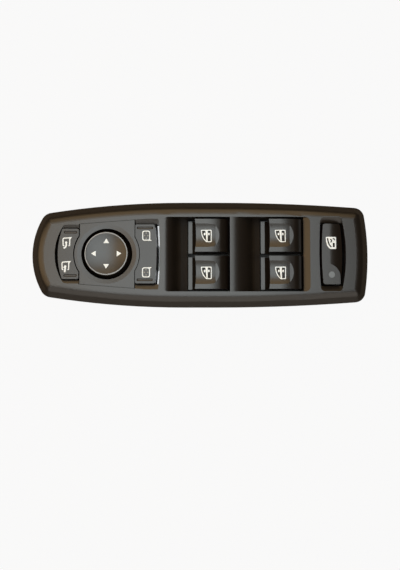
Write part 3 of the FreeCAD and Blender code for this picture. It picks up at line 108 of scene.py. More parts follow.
# Slopes in the slim rockers' slots: piece, rocker, reach beyond it in front and behind, start and end
# beyond the rocker's own ends, all in millimetres, and slope in degrees
SLOT_SILLS = (
    ("fold_slot_sills", "mirror_fold_rocker", 2.0, 0.0, 2.6, 0.65, 20),
    ("select_slot_sills", "mirror_select_rocker", 0.0, 2.5, 3.5, 0.65, 20),
    ("lock_slot_sills", "child_lock_rocker", 1.3, 0.4, 4.0, 1.0, 36),
)
SILL_SUNK = 0.02 * MM
SILL_FOOT = 4.1 * MM
SILL_BACK = 0.4 * MM

# Light guide's painted glow: where the guide's middle is, how far from it the stretch without glow ends, and
# how softly the glow starts
GUIDE_MIDDLE = -2.0 * MM
GUIDE_UNGLOWING_HALF = 7.2 * MM
GUIDE_GLOW_FADE = 0.6 * MM

# Softboxes: place, aim, width and height, colour
KEY = ((-0.03, 0.01, 0.9), (-0.03, 0.01, 0.0), (0.6, 0.7), (0.92, 0.99, 1.0))
FRONT = ((-0.66, 0.05, 0.62), (0.0, 0.0, 0.0), (0.55, 0.9), (1.0, 0.68, 0.36))
FAR = ((-0.05, 0.60, 0.58), (0.0, 0.0, 0.0), (0.8, 0.66), (1.0, 0.70, 0.38))
NEAR = ((0.0, -0.62, 0.42), (0.0, 0.0, 0.0), (1.2, 0.8), (1.0, 0.92, 0.82))

# Floor and camera
FLOOR_GAP = 0.0003
FLOOR_HALF = 3.0
EYE_Y = -0.042
LOOK_Y = -0.018
SENSOR = 24.0

# Sockets of a Mix node, which has inputs and an output for each kind of value
MIX_SOCKETS = {"VECTOR": (4, 5, 1), "RGBA": (6, 7, 2)}

WINDOWS = ("front_right_window", "front_left_window", "rear_right_window", "rear_left_window")
SLIDERS = WINDOWS + ("mirror_fold", "mirror_select", "child_lock")


def colour(name, text, default):
    """A colour property in linear values."""
    return FloatVectorProperty(name=name, description=text, subtype="COLOR", size=3, min=0.0, max=1.0,
                               default=default)


def length(name, text, default):
    """A length property in metres."""
    return FloatProperty(name=name, description=text, unit="LENGTH", min=0.0, default=default)


def power(name, text, default):
    """A lamp's strength in watts."""
    return FloatProperty(name=name, description=text, unit="POWER", min=0.0, default=default)


def fraction(name, text, default):
    """A share from none to all."""
    return FloatProperty(name=name, description=text, subtype="FACTOR", min=0.0, max=1.0, default=default)


class SwitchColours(bpy.types.PropertyGroup):
    """Colours that a user would change."""
    plastic: colour("Plastic", "Bezel and mirror plate", (0.014, 0.010, 0.007))
    rocker: colour("Rockers", "Rocker caps", (0.014, 0.010, 0.007))
    knob: colour("Knob", "Mirror knob", (0.014, 0.011, 0.008))
    ring: colour("Knob ring", "Metallised ring round the knob", (0.27, 0.27, 0.27))
    # The signs' colour is also the colour of their painted glow
    sign: colour("Signs", "Printed signs and arrows", (0.92, 0.98, 1.0))
    dark_sign: colour("Dark strokes", "Strokes inside the child-lock sign", (0.005, 0.005, 0.005))
    dim_sign: colour("Dim dots", "Adjusting dots inside the mirror signs", (0.36, 0.36, 0.34))
    lens: colour("Indicator", "Indicator lens in the child-lock rocker", (0.16, 0.18, 0.2))
    # The guide's colour is also the colour of its painted glow
    guide: colour("Light guide", "Clear strip beside the mirror rocker", (0.8, 0.82, 0.84))
    housing: colour("Housing", "Housing, cover and socket", (0.022, 0.021, 0.02))
    board: colour("Board", "Circuit board laminate", (0.012, 0.075, 0.03))
    floor: colour("Floor", "Studio floor", (0.17, 0.13, 0.085))


class SwitchSizes(bpy.types.PropertyGroup):
    """Sizes that a user would change."""
    edge: length("Edge", "Rounding of moulded edges", 0.00022)
    print_thick: length("Print thickness", "Height of a printed sign above its surface", 0.00003)
    grain: length("Grain", "Depth of the moulded grain", 0.000012)
    knob_hollow: FloatProperty(name="Knob hollow", default=5.4, min=0.0,
                               description="Extra hollow that the knob's shading shows, per metre")
    cap_roll_length: length("Cap roll start", "How far before a cap's rear end its roll starts", 0.0136)
    cap_roll: length("Cap roll", "Radius of the long roll of a window cap", 0.039)
    dish_rim: length("Dish rim", "Width of the lit rim at the rear end of a window cap's dish", 0.0025)
    camera_height: length("Camera height", "Height of the camera above the rim", 0.38)
    view_height: length("View height", "Height of the picture at the rim", 0.342)


class SwitchLights(bpy.types.PropertyGroup):
    """Studio light that a user would change."""
    key: power("Key", "Strength of the overhead softbox", 3.35)
    front: power("Front", "Strength of the warm softbox at the front end", 2.2)
    far: power("Far", "Strength of the warm softbox on the far side", 2.0)
    near: power("Near", "Strength of the dim softbox on the near side", 2.4)
    fill: fraction("Fill", "Strength of the surroundings", 0.02)
    backdrop: fraction("Backdrop", "Share of plain white in the floor that the camera sees", 0.94)
    mirrored: fraction("Mirrored", "Share of that white that reflections see", 0.04)


class Shade:
    """A socket of a material's node tree; an expression on it adds the nodes that work it out."""

    def __init__(self, tree, socket=None):
        self.tree = tree
        self.socket = socket

    def add(self, kind, settings=None, inputs=None, output=0):
        """Add a node of a type, make its settings, then set or link its sockets."""
        node = self.tree.nodes.new(kind)
        for name, value in (settings or {}).items():
            setattr(node, name, value)
        for name, value in (inputs or {}).items():
            if isinstance(value, Shade):
                self.tree.links.new(value.socket, node.inputs[name])
            else:
                node.inputs[name].default_value = value
        return Shade(self.tree, node.outputs[output])

    def math(self, operation, first, second=0.0):
        """Work out one value from one or two others."""
        return self.add("ShaderNodeMath", {"operation": operation}, {0: first, 1: second})

    def __add__(self, other):
        return self.math("ADD", self, other)

    __radd__ = __add__

    def __sub__(self, other):
        return self.math("SUBTRACT", self, other)

    def __rsub__(self, other):
        return self.math("SUBTRACT", other, self)

    def __mul__(self, other):
        return self.math("MULTIPLY", self, other)

    __rmul__ = __mul__

    def axis(self, index):
        """One coordinate of a place."""
        return self.add("ShaderNodeSeparateXYZ", inputs={"Vector": self}, output=index)

    def ramp(self, low, high):
        """0 below low, 1 above high and smooth between."""
        limits = {"Value": self, "From Min": low, "From Max": high}
        return self.add("ShaderNodeMapRange", {"interpolation_type": "SMOOTHSTEP"}, limits)

    def mix(self, first, second, kind="RGBA"):
        """Blend two colours, or two vectors, by this value."""
        before, after, output = MIX_SOCKETS[kind]
        inputs = {"Factor": self, before: first, after: second}
        return self.add("ShaderNodeMix", {"data_type": kind}, inputs, output)

    def turned_up(self, share):
        """Turn a normal towards the piece's own upward direction by a share."""
        turn = {"vector_type": "NORMAL", "convert_from": "OBJECT", "convert_to": "WORLD"}
        upward = self.add("ShaderNodeVectorTransform", turn, {"Vector": (0.0, 0.0, 1.0)})
        turned = share.mix(self, upward, "VECTOR")
        return self.add("ShaderNodeVectorMath", {"operation": "NORMALIZE"}, {0: turned})


def opaque(rgb):
    """A colour with full cover, as colour sockets take it."""
    return (rgb[0], rgb[1], rgb[2], 1.0)


def material(name, rgb, rough, metal=0.0, coat=0.0, transmission=0.0, gloss=0.5, painted_glow=0.0,
             grain=0.0, grain_scale=2600.0, relief=None, level=None):
    """Plain finish with an optional fine grain. A grained one can take a relief, which shades it as a
    rounder form, and a share of it that shades as level."""
    made = bpy.data.materials.new(name)
    made.use_nodes = True
    tree = made.node_tree
    shader = tree.nodes["Principled BSDF"]
    shader.inputs["Base Color"].default_value = opaque(rgb)
    shader.inputs["Roughness"].default_value = rough
    shader.inputs["Metallic"].default_value = metal
    shader.inputs["Specular IOR Level"].default_value = gloss
    shader.inputs["Coat Weight"].default_value = coat
    shader.inputs["Transmission Weight"].default_value = transmission
    # Emission colour and strength give a painted glow where one is given, since no piece here is a lamp
    shader.inputs["Emission Color"].default_value = opaque(rgb)
    shader.inputs["Emission Strength"].default_value = painted_glow
    if grain:
        shade = Shade(tree)
        place = shade.add("ShaderNodeTexCoord", output="Object")
        noise = shade.add("ShaderNodeTexNoise", inputs={"Vector": place, "Scale": grain_scale, "Detail": 2.0})
        height = noise * (GRAIN_SHARE * grain)
        if relief:
            height = height + relief(place)
        normal = shade.add("ShaderNodeBump", inputs={"Height": height, "Strength": 1.0, "Distance": 1.0})
        if level:
            normal = normal.turned_up(level(place))
        tree.links.new(normal.socket, shader.inputs["Normal"])
    return made


def print_white_with_painted_glow(name):
    """White of the printed signs, with a faint painted glow."""
    return material(name, bpy.context.scene.switch_colours.sign, SIGN_ROUGH, painted_glow=SIGN_PAINTED_GLOW)


def knob_dish(middle, hollow):
    """Relief of the knob's dish round its middle."""
    def height(place):
        across = place.axis(0) - middle.x
        along = place.axis(1) - middle.y
        return (across * across + along * along) * hollow
    return height


def cap_roll(start, radius):
    """Relief of a window cap's long roll, from where it starts along the cap."""
    def height(place):
        past = place.math("MAXIMUM", place.axis(0) - start)
        return past * past * (-0.5 / radius)
    return height


def dish_crescent(x, y, rim):
    """Share of the lit crescent in a window cap's dish, by the centre of the dish's round end."""
    def lit(place):
        across = place.axis(0) - x
        along = place.axis(1) - y
        out = place.math("SQRT", across * across + along * along)
        begun = across.ramp(DISH_END_R - rim, DISH_END_R - rim + CRESCENT_FADE)
        return begun * (1 - out.ramp(DISH_END_R, DISH_END_R + CRESCENT_EDGE))
    return lit


def finish(node, made, edge=0.0):
    """Give a CAD node its finish and, where its edges show, a small rounding."""
    obj = NODES[node]
    obj.data.materials.clear()
    obj.data.materials.append(made)
    if edge:
        bevel = obj.modifiers.new("edge", "BEVEL")
        bevel.width = edge
        bevel.segments = 2
        bevel.limit_method = "ANGLE"
        bevel.angle_limit = math.radians(EDGE_ANGLE)


def surface_of(node):
    """Search tree over the faces of a CAD node, to seat signs on."""
    mesh = NODES[node].data
    points = [vertex.co.copy() for vertex in mesh.vertices]
    return BVHTree.FromPolygons(points, [list(face.vertices) for face in mesh.polygons])


def dense(points):
    """Points along an outline's straight sides, at most a step apart."""
    out = []
    for a, b in zip(points, points[1:] + points[:1]):
        count = max(1, math.ceil(math.dist(a, b) / PRINT_STEP))
        out += [(a[0] + (b[0] - a[0]) * i / count, a[1] + (b[1] - a[1]) * i / count) for i in range(count)]
    return out


def soft(points, radius, closed=True):
    """Round the corners of an outline, or of an open run of points, by a radius."""
    out = []
    count = len(points)
    for i, here in enumerate(points):
        if not closed and i in (0, count - 1):
            out.append(here)
            continue
        corner = Vector(here)
        before = Vector(points[i - 1]) - corner
        after = Vector(points[(i + 1) % count]) - corner
        reach = min(radius, 0.45 * before.length, 0.45 * after.length)
        first = corner + before.normalized() * reach
        last = corner + after.normalized() * reach
        for k in range(CORNER_STEPS + 1):
            t = k / CORNER_STEPS
            out.append(tuple((1 - t) ** 2 * first + 2 * t * (1 - t) * corner + t * t * last))
    return out


def line(points, width):
    """Outline of a stroke of even width along open points, with square ends."""
    points = [Vector(p) for p in points]
    left = []
    right = []
    for i, here in enumerate(points):
        before = here - points[i - 1] if i else points[1] - here
        after = points[i + 1] - here if i < len(points) - 1 else before
        along = (before.normalized() + after.normalized()).normalized()
        side = Vector((-along.y, along.x)) * (width / 2)
        left.append(tuple(here + side))
        right.append(tuple(here - side))
    return left + right[::-1]


def bend(points, radius, width):
    """Outline of a stroke along open points whose corners are rounded."""
    return line(soft(points, radius, False), width)


def dot(x, y, rx, ry):
    """Outline of a round or oval dot."""
    turns = [2 * math.pi * i / DOT_CORNERS for i in range(DOT_CORNERS)]
    return [(x + rx * math.cos(t), y + ry * math.sin(t)) for t in turns]


def area(points):
    """Signed area of an outline, positive where it runs anticlockwise."""
    return sum(a[0] * b[1] - b[0] * a[1] for a, b in zip(points, points[1:] + points[:1])) / 2


def inked(inks, gaps):
    """Flat points and faces of inked outlines less gaps, fine enough to follow a curved surface."""
    outlines = [dense(shape if area(shape) > 0 else shape[::-1]) for shape in inks + gaps]
    points = []
    rings = []
    for shape in outlines:
        rings.append(list(range(len(points), len(points) + len(shape))))
        points += [Vector(p) for p in shape]
    reach = max(max(abs(p.x), abs(p.y)) for p in points)
    steps = math.ceil(2 * reach / PRINT_GRID)
    points += [Vector((reach * (2 * i / steps - 1), reach * (2 * j / steps - 1)))
               for i in range(steps + 1) for j in range(steps + 1)]
    made = delaunay_2d_cdt(points, [], rings, CDT_INSIDE, CDT_NEAR)
    flat, faces, sources = made[0], made[2], made[5]
    # Each face names the outlines that it lies in; the inks come first and the gaps after them
    kept = [face for face, source in zip(faces, sources) if source and max(source) < len(inks)]
    return flat, kept


def placed(name, build):
    """New piece from a built mesh, which is freed."""
    mesh = bpy.data.meshes.new(name)
    build.to_mesh(mesh)
    build.free()
    obj = bpy.data.objects.new(name, mesh)
    bpy.context.collection.objects.link(obj)
    return obj


def printed(name, inks, gaps, place, surface, thick):
    """Thin printed sign: inked outlines less gaps, in millimetres round a place, laid on a surface."""
    flat, kept = inked(inks, gaps)
    build = bmesh.new()
    top = {}
    for index in sorted({i for face in kept for i in face}):
        x = place[0] + flat[index].x * MM
        y = place[1] + flat[index].y * MM
        hit = surface.ray_cast(Vector((x, y, DROP_HEIGHT)), Vector((0, 0, -1)))
        if hit[0] is None:
            raise RuntimeError(name + " doesn't lie on its surface")
        top[index] = build.verts.new((x, y, hit[0].z + thick))
    for face in kept:
        build.faces.new([top[i] for i in face])
    bmesh.ops.recalc_face_normals(build, faces=build.faces)
    if sum(face.normal.z for face in build.faces) < 0:
        bmesh.ops.reverse_faces(build, faces=build.faces)
    shell = bmesh.ops.extrude_face_region(build, geom=list(build.faces))
    lowered = [item for item in shell["geom"] if isinstance(item, bmesh.types.BMVert)]
    bmesh.ops.translate(build, verts=lowered, vec=(0, 0, -2 * thick))
    bmesh.ops.recalc_face_normals(build, faces=build.faces)
    return placed(name, build)


def dress(obj, made, body):
    """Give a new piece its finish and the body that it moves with."""
    obj.data.materials.append(made)
    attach(obj, body)


def sill(name, x0, x1, outer, inner, slope, made):
    """Shallow slope at both ends of a slim rocker's slot, laid over the steeper one below it. It spans
    x0 to x1 and falls from an outer to an inner distance from the middle line."""
    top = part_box("bezel")[1].z - SILL_SUNK
    drop = (outer - inner) * math.tan(math.radians(slope))
    foot = top - SILL_FOOT
    build = bmesh.new()
    for side in (-1, 1):
        section = [(outer, top), (inner, top - drop), (inner, foot), (outer, top - SILL_BACK)]
        ends = [[build.verts.new((x, side * y, z)) for y, z in section] for x in (x0, x1)]
        build.faces.new(ends[0])
        build.faces.new(ends[1])
        for i in range(4):
            build.faces.new((ends[0][i], ends[0][i - 1], ends[1][i - 1], ends[1][i]))
    bmesh.ops.recalc_face_normals(build, faces=build.faces)
    dress(placed(name, build), made, "panel")


def centre(node):
    """Middle of a CAD node's box."""
    low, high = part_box(node)
    return (Vector(low) + Vector(high)) / 2


def window_sign():
    """Door window with a raised bar: inked outlines and gaps, in millimetres."""
    outer = soft([(-3.2, 3.65), (3.2, 3.65), (3.2, -3.7), (-0.1, -3.7), (-2.0, -1.3), (-2.8, 0.9)], 0.55)
    inner = soft([(-2.65, 3.15), (2.7, 3.15), (2.7, -3.2), (0.15, -3.2), (-1.5, -1.1), (-2.25, 0.9)], 0.35)
    bar = [(-0.5, 3.3), (0.85, 3.3), (0.85, -3.3), (0.15, -3.3)]
    ears = [dot(-0.95, 1.15, 0.5, 0.75), dot(1.55, 1.15, 0.5, 0.75)]
    return outer, inner, [bar] + ears


def fold_signs():
    """Door mirror with an arrow: the upper one swings in, the lower one out."""
    frame_line = bend([(-1.5, -1.8), (-2.25, -1.75), (-2.4, 2.65), (2.1, 2.95)], 0.8, 0.6)
    tail = [(0.9, 3.2), (2.9, 3.35), (2.1, 2.2), (1.2, 2.5)]
    leg = bend([(1.65, 2.6), (1.55, -1.75), (0.95, -1.85)], 0.5, 0.6)
    pivot = dot(-0.5, 0.1, 0.68, 0.68)
    inward = bend([(-0.45, 0.1), (-0.4, -1.7), (-1.0, -2.9), (-2.0, -3.2)], 1.2, 0.85)
    outward = bend([(-0.5, 0.1), (-0.5, -1.6), (-0.8, -3.3)], 1.2, 0.95)
    upper = [frame_line, tail, leg, inward, pivot]
    branch = line([(-0.5, -0.3), (-1.5, -0.55)], 0.6)
    lower = [frame_line, tail, leg, outward, pivot, branch]
    return upper, lower


def select_sign(foot):
    """Door mirror with its foot at the lower or upper right, and its four adjusting dots."""
    ring = soft([(-2.45, 2.95), (2.25, 2.95), (2.25, -2.95), (-2.45, -2.95)], 1.3)
    inside = soft([(-1.9, 2.42), (1.7, 2.42), (1.7, -2.42), (-1.9, -2.42)], 0.95)
    tail = [(0.9, 2.95 * foot), (3.2, 3.15 * foot), (2.7, 2.5 * foot), (1.1, 2.4 * foot)]
    places = [(0.0, 1.55), (0.0, -1.55), (-0.95, 0.0), (0.95, 0.0)]
    return [ring, tail], inside, [dot(x - 0.1, y, 0.38, 0.38) for x, y in places]


def lock_sign():
    """Filled window with the dark strokes of a locked child window."""
    plate = soft([(-3.15, 3.55), (3.1, 3.6), (3.15, -3.6), (-0.7, -3.6), (-2.2, -1.9), (-2.95, 0.7)], 0.7)
    strokes = [bend([(-2.05, 2.8), (-1.7, 0.7), (-1.05, -1.2), (0.15, -2.5)], 1.0, 0.8),
               bend([(-0.45, 2.3), (0.45, 1.35), (-0.25, 0.2)], 0.4, 0.75),
               bend([(1.0, 2.5), (2.05, 2.45), (2.1, 1.5)], 0.5, 0.65),
               line([(1.65, 0.0), (1.65, -2.55)], 1.2)]
    return plate, strokes


class SWITCH_OT_panel(bpy.types.Operator):
    """Finish the bezel and the mirror plate, and lay the slopes in the slim rockers' slots"""
    bl_idname = "switch.panel"
    bl_label = "Bezel and mirror plate"

    def execute(self, context):
        colours = context.scene.switch_colours
        sizes = context.scene.switch_sizes
        made = material("bezel_grained", colours.plastic, 0.32, gloss=GLOSS, grain=sizes.grain)
        finish("bezel", made, sizes.edge)
        finish("mirror_plate", made, sizes.edge)
        for name, node, front, rear, outer, inner, slope in SLOT_SILLS:
            low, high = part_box(node)
            x0 = low.x - front * MM
            x1 = high.x + rear * MM
            sill(name, x0, x1, high.y + outer * MM, high.y + inner * MM, slope, made)
        return {"FINISHED"}


class SWITCH_OT_knob(bpy.types.Operator):
    """Finish the mirror knob and its ring, and print its four arrows"""
    bl_idname = "switch.knob"
    bl_label = "Mirror knob"

    def execute(self, context):
        colours = context.scene.switch_colours
        sizes = context.scene.switch_sizes
        middle = centre("mirror_knob")
        satin = material("knob_satin", colours.knob, 0.28, gloss=GLOSS, grain=sizes.grain,
                         relief=knob_dish(middle, sizes.knob_hollow))
        finish("mirror_knob", satin, sizes.edge)
        finish("knob_ring", material("ring_metallised", colours.ring, 0.42, metal=1.0), sizes.edge / 2)
        white = print_white_with_painted_glow("knob_arrow")
        surface = surface_of("mirror_knob")
        for name, turn in ARROW_TURNS:
            angle = math.radians(turn)
            arrow = [(x * math.cos(angle) - y * math.sin(angle), x * math.sin(angle) + y * math.cos(angle))
                     for x, y in ARROW]
            obj = printed("knob_arrow_" + name, [arrow], [], middle, surface, sizes.print_thick)
            dress(obj, white, "knob")
        return {"FINISHED"}


class SWITCH_OT_windows(bpy.types.Operator):
    """Finish the four window rockers and print their signs"""
    bl_idname = "switch.windows"
    bl_label = "Window rockers"

    def execute(self, context):
        colours = context.scene.switch_colours
        sizes = context.scene.switch_sizes
        white = print_white_with_painted_glow("window_sign")
        dark = material("window_pane", colours.dark_sign, 0.5)
        outer, inner, bars = window_sign()
        for name in WINDOWS:
            node = name + "_rocker"
            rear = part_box(node)[1].x
            middle = centre(node).y
            roll = cap_roll(rear - sizes.cap_roll_length, sizes.cap_roll)
            crescent = dish_crescent(rear - DISH_END_AHEAD - DISH_END_R, middle, sizes.dish_rim)
            made = material(name + "_satin", colours.rocker, 0.3, gloss=GLOSS, grain=sizes.grain,
                            relief=roll, level=crescent)
            finish(node, made, sizes.edge)
            surface = surface_of(node)
            place = (rear - SIGN_AHEAD, middle - SIGN_ASIDE)
            # The dark pane lies lowest and the bar highest, so that no two of them share a surface
            lined = printed(name + "_sign", [outer], [inner], place, surface, sizes.print_thick)
            barred = printed(name + "_bar", bars, [], place, surface, 1.5 * sizes.print_thick)
            pane = printed(name + "_pane", [inner], [], place, surface, 0.5 * sizes.print_thick)
            dress(lined, white, node)
            dress(barred, white, node)
            dress(pane, dark, node)
        return {"FINISHED"}


class SWITCH_OT_mirror_rockers(bpy.types.Operator):
    """Finish the mirror fold and mirror select rockers and print their signs"""
    bl_idname = "switch.mirror_rockers"
    bl_label = "Mirror rockers"

    def execute(self, context):
        colours = context.scene.switch_colours
        sizes = context.scene.switch_sizes
        made = material("mirror_rocker_satin", colours.rocker, 0.3, gloss=MIRROR_GLOSS, grain=sizes.grain)
        white = print_white_with_painted_glow("mirror_sign")
        dim = material("mirror_dot", colours.dim_sign, SIGN_ROUGH)
        thick = sizes.print_thick
        node = "mirror_fold_rocker"
        finish(node, made, sizes.edge)
        surface = surface_of(node)
        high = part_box(node)[1]
        upper, lower = fold_signs()
        # Place of each sign, in millimetres, from the rocker's rear end and from the middle line
        for name, inks, back, side in (("right", upper, 6.9, 6.6), ("left", lower, 7.3, -7.6)):
            place = (high.x - back * MM, side * MM)
            sign = printed("fold_sign_" + name, inks, [], place, surface, thick)
            dress(sign, white, node)
        node = "mirror_select_rocker"
        finish(node, made, sizes.edge)
        surface = surface_of(node)
        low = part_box(node)[0]
        # End of the sign that its foot is at, and its place from the middle line in millimetres
        for name, foot, side in (("right", -1, 10.8), ("left", 1, -11.0)):
            place = (low.x + SELECT_SIGN_BACK, side * MM)
            inks, inside, dots = select_sign(foot)
            outline = printed("select_sign_" + name, inks, [inside], place, surface, thick)
            dotted = printed("select_dots_" + name, dots, [], place, surface, thick)
            dress(outline, white, node)
            dress(dotted, dim, node)
        return {"FINISHED"}


class SWITCH_OT_child_lock(bpy.types.Operator):
    """Finish the child-lock rocker and its indicator lens, and print its sign"""
    bl_idname = "switch.child_lock"
    bl_label = "Child lock"

    def execute(self, context):
        colours = context.scene.switch_colours
        sizes = context.scene.switch_sizes
        node = "child_lock_rocker"
        finish(node, material("lock_satin", colours.rocker, 0.3, gloss=GLOSS, grain=sizes.grain), sizes.edge)
        finish("child_lock_lens", material("indicator_lens", colours.lens, 0.3, coat=0.4), sizes.edge / 2)
        surface = surface_of(node)
        plate, strokes = lock_sign()
        place = (centre("child_lock_lens").x - LOCK_SIGN_AHEAD, LOCK_SIGN_SIDE)
        white = print_white_with_painted_glow("lock_sign")
        dark = material("lock_stroke", colours.dark_sign, 0.5)
        sign = printed("lock_sign", [plate], [], place, surface, sizes.print_thick)
        marks = printed("lock_strokes", strokes, [], place, surface, 2 * sizes.print_thick)
        dress(sign, white, node)
        dress(marks, dark, node)
        return {"FINISHED"}


class SWITCH_OT_case(bpy.types.Operator):
    """Finish the housing, the rear cover, the socket, the clips and the screws"""
    bl_idname = "switch.case"
    bl_label = "Housing and fixings"

    def execute(self, context):
        colours = context.scene.switch_colours
        sizes = context.scene.switch_sizes
        made = material("housing_black", colours.housing, 0.5, grain=sizes.grain, grain_scale=1600.0)
        finish("switch_housing", made, sizes.edge)
        finish("rear_cover", made, sizes.edge)
        finish("connector_shroud", material("socket_black", colours.housing, 0.38), sizes.edge / 2)
        steel = material("screw_steel", (0.50, 0.49, 0.47), 0.32, metal=1.0)
        finish("housing_screws", steel, sizes.edge / 2)
        spring = material("spring_steel", (0.42, 0.41, 0.40), 0.36, metal=1.0)
        finish("retaining_clips", spring, 0.0)
        return {"FINISHED"}


def guide_with_painted_glow(rgb):
    """Clear plastic of the light guide, with a painted glow at both ends and none on the stretch between
    them.
    """
    made = material("light_guide_clear", rgb, 0.12, transmission=0.2, painted_glow=0.4)
    tree = made.node_tree
    shade = Shade(tree)
    along = shade.add("ShaderNodeTexCoord", output="Object").axis(1)
    # Painted glow: full at the guide's ends, left off its middle stretch
    lit = shade.math("ABSOLUTE", along - GUIDE_MIDDLE).ramp(GUIDE_UNGLOWING_HALF, GUIDE_UNGLOWING_HALF + GUIDE_GLOW_FADE)
    painted_glow = lit.mix((0.0, 0.0, 0.0, 1.0), opaque(rgb))
    tree.links.new(painted_glow.socket, tree.nodes["Principled BSDF"].inputs["Emission Color"])
    return made


class SWITCH_OT_works(bpy.types.Operator):
    """Finish the knob's joystick, the contact sliders, their wipers and the light guide"""
    bl_idname = "switch.works"
    bl_label = "Moving works"

    def execute(self, context):
        colours = context.scene.switch_colours
        pale = material("acetal_white", (0.62, 0.61, 0.57), 0.45)
        bronze = material("wiper_bronze", (0.52, 0.33, 0.17), 0.3, metal=1.0)
        for name in SLIDERS:
            finish(name + "_slider", pale, 0.0)
            finish(name + "_wiper", bronze, 0.0)
        finish("joystick_stem", pale, 0.0)
        finish("gimbal_ring", pale, 0.0)
        finish("contact_mat", material("mat_rubber", (0.09, 0.09, 0.09), 0.75), 0.0)
        finish("light_guide", guide_with_painted_glow(colours.guide), 0.0)
        return {"FINISHED"}


class SWITCH_OT_electrics(bpy.types.Operator):
    """Finish the circuit board, its lamps, chip and small parts, and the contact pins"""
    bl_idname = "switch.electrics"
    bl_label = "Board and pins"

    def execute(self, context):
        colours = context.scene.switch_colours
        finish("circuit_board", material("board_green", colours.board, 0.4, coat=0.3), 0.0)
        finish("connector_pins", material("pin_tin", (0.74, 0.73, 0.70), 0.25, metal=1.0), 0.0)
        finish("board_lamps", material("lamp_body", (0.72, 0.71, 0.62), 0.35), 0.0)
        finish("control_chip", material("chip_black", (0.02, 0.02, 0.02), 0.45), 0.0)
        finish("board_components", material("component_brown", (0.16, 0.10, 0.06), 0.5), 0.0)
        return {"FINISHED"}


def lamp(name, strength, place, aim, size, rgb):
    """Softbox of a width and height that shines at a point."""
    light = bpy.data.lights.new(name, "AREA")
    light.shape = "RECTANGLE"
    light.size = size[0]
    light.size_y = size[1]
    light.energy = strength
    light.color = rgb
    obj = bpy.data.objects.new(name, light)
    obj.location = place
    obj.rotation_euler = (Vector(aim) - Vector(place)).to_track_quat("-Z", "Y").to_euler()
    bpy.context.collection.objects.link(obj)
    return obj


def seen_directly(shade):
    """1 for rays that come straight from the camera or through clear pieces, otherwise 0."""
    seen = shade.add("ShaderNodeLightPath", output="Is Camera Ray")
    passed = shade.add("ShaderNodeLightPath", output="Is Transmission Ray")
    return seen + passed


def studio_floor(rgb, lights):
    """Plain floor just under the part, white to the camera, that keeps the part's shadow."""
    made = bpy.data.materials.new("studio_floor")
    made.use_nodes = True
    tree = made.node_tree
    shader = tree.nodes["Principled BSDF"]
    shader.inputs["Base Color"].default_value = opaque(rgb)
    shader.inputs["Roughness"].default_value = 0.9
    shade = Shade(tree)
    glossy = shade.add("ShaderNodeLightPath", output="Is Glossy Ray")
    share = (seen_directly(shade) + glossy * lights.mirrored) * lights.backdrop
    white = shade.add("ShaderNodeEmission", inputs={"Color": (1, 1, 1, 1), "Strength": 1.0})
    plain = Shade(tree, shader.outputs[0])
    both = shade.add("ShaderNodeMixShader", inputs={0: share, 1: plain, 2: white})
    tree.links.new(both.socket, tree.nodes["Material Output"].inputs["Surface"])
    lowest = CAD_BOX[0][2] - FLOOR_GAP
    turns = ((-1, -1), (1, -1), (1, 1), (-1, 1))
    corners = [(x * FLOOR_HALF, y * FLOOR_HALF, lowest) for x, y in turns]
    mesh = bpy.data.meshes.new("floor")
    mesh.from_pydata(corners, [], [(0, 1, 2, 3)])
    mesh.materials.append(made)
    floor = bpy.data.objects.new("floor", mesh)
    bpy.context.scene.collection.objects.link(floor)
    return floor


def surroundings(lights):
    """Dim warm surroundings that are plain white to the camera."""
    world = bpy.data.worlds.new("surroundings")
    world.use_nodes = True
    tree = world.node_tree
    clear = seen_directly(Shade(tree))
    background = tree.nodes["Background"]
    tint = clear.mix((1.0, 0.93, 0.86, 1.0), (1.0, 1.0, 1.0, 1.0))
    strength = clear.math("MAXIMUM", clear, lights.fill)
    tree.links.new(tint.socket, background.inputs["Color"])
    tree.links.new(strength.socket, background.inputs["Strength"])
    return world


def camera(height, view):
    """Camera above the near side of the part, by its height and the height of its view."""
    lens = bpy.data.cameras.new("camera")
    lens.sensor_fit = "VERTICAL"
    lens.sensor_height = SENSOR
    lens.lens = SENSOR * math.hypot(height, LOOK_Y - EYE_Y) / view
    lens.clip_start = 0.01
    eye = bpy.data.objects.new("camera", lens)
    eye.location = (0.0, EYE_Y, height)
    eye.rotation_euler = (Vector((0, LOOK_Y, 0)) - Vector(eye.location)).to_track_quat("-Z", "Y").to_euler()
    bpy.context.scene.collection.objects.link(eye)
    return eye


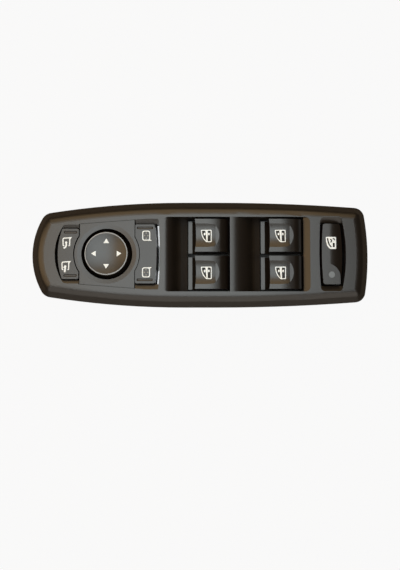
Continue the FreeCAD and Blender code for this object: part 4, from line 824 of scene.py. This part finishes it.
class SWITCH_OT_stage(bpy.types.Operator):
    """Set up the floor, the lights, the surroundings and the camera"""
    bl_idname = "switch.stage"
    bl_label = "Studio and camera"

    def execute(self, context):
        scene = context.scene
        sizes = scene.switch_sizes
        lights = scene.switch_lights
        floor = studio_floor(scene.switch_colours.floor, lights)
        key = lamp("key", lights.key, *KEY)
        front = lamp("front", lights.front, *FRONT)
        far = lamp("far", lights.far, *FAR)
        near = lamp("near", lights.near, *NEAR)
        scene.world = surroundings(lights)
        scene.camera = camera(sizes.camera_height, sizes.view_height)
        scene.view_settings.view_transform = "Standard"
        return {"FINISHED"}


STEPS = (SWITCH_OT_panel, SWITCH_OT_knob, SWITCH_OT_windows, SWITCH_OT_mirror_rockers, SWITCH_OT_child_lock,
         SWITCH_OT_case, SWITCH_OT_works, SWITCH_OT_electrics, SWITCH_OT_stage)


class SWITCH_PT_sidebar(bpy.types.Panel):
    """Switch panel: sizes, colours, lights and the steps that build it"""
    bl_idname = "SWITCH_PT_sidebar"
    bl_label = "Door switch panel"
    bl_space_type = "VIEW_3D"
    bl_region_type = "UI"
    bl_category = "Switch"

    def draw(self, context):
        scene = context.scene
        for group in (scene.switch_sizes, scene.switch_colours, scene.switch_lights):
            for name in group.__annotations__:
                self.layout.prop(group, name)
        for step in STEPS:
            self.layout.operator(step.bl_idname)


CLASSES = (SwitchColours, SwitchSizes, SwitchLights) + STEPS + (SWITCH_PT_sidebar,)


def register():
    """Add the properties, the steps and the panel to Blender."""
    for made in CLASSES:
        bpy.utils.register_class(made)
    bpy.types.Scene.switch_colours = PointerProperty(type=SwitchColours)
    bpy.types.Scene.switch_sizes = PointerProperty(type=SwitchSizes)
    bpy.types.Scene.switch_lights = PointerProperty(type=SwitchLights)


def unregister():
    """Take them away again."""
    del bpy.types.Scene.switch_lights
    del bpy.types.Scene.switch_sizes
    del bpy.types.Scene.switch_colours
    for made in reversed(CLASSES):
        bpy.utils.unregister_class(made)


def main():
    """Build the whole scene."""
    register()
    bpy.ops.switch.panel()
    bpy.ops.switch.knob()
    bpy.ops.switch.windows()
    bpy.ops.switch.mirror_rockers()
    bpy.ops.switch.child_lock()
    bpy.ops.switch.case()
    bpy.ops.switch.works()
    bpy.ops.switch.electrics()
    bpy.ops.switch.stage()


if __name__ == "__main__":
    main()
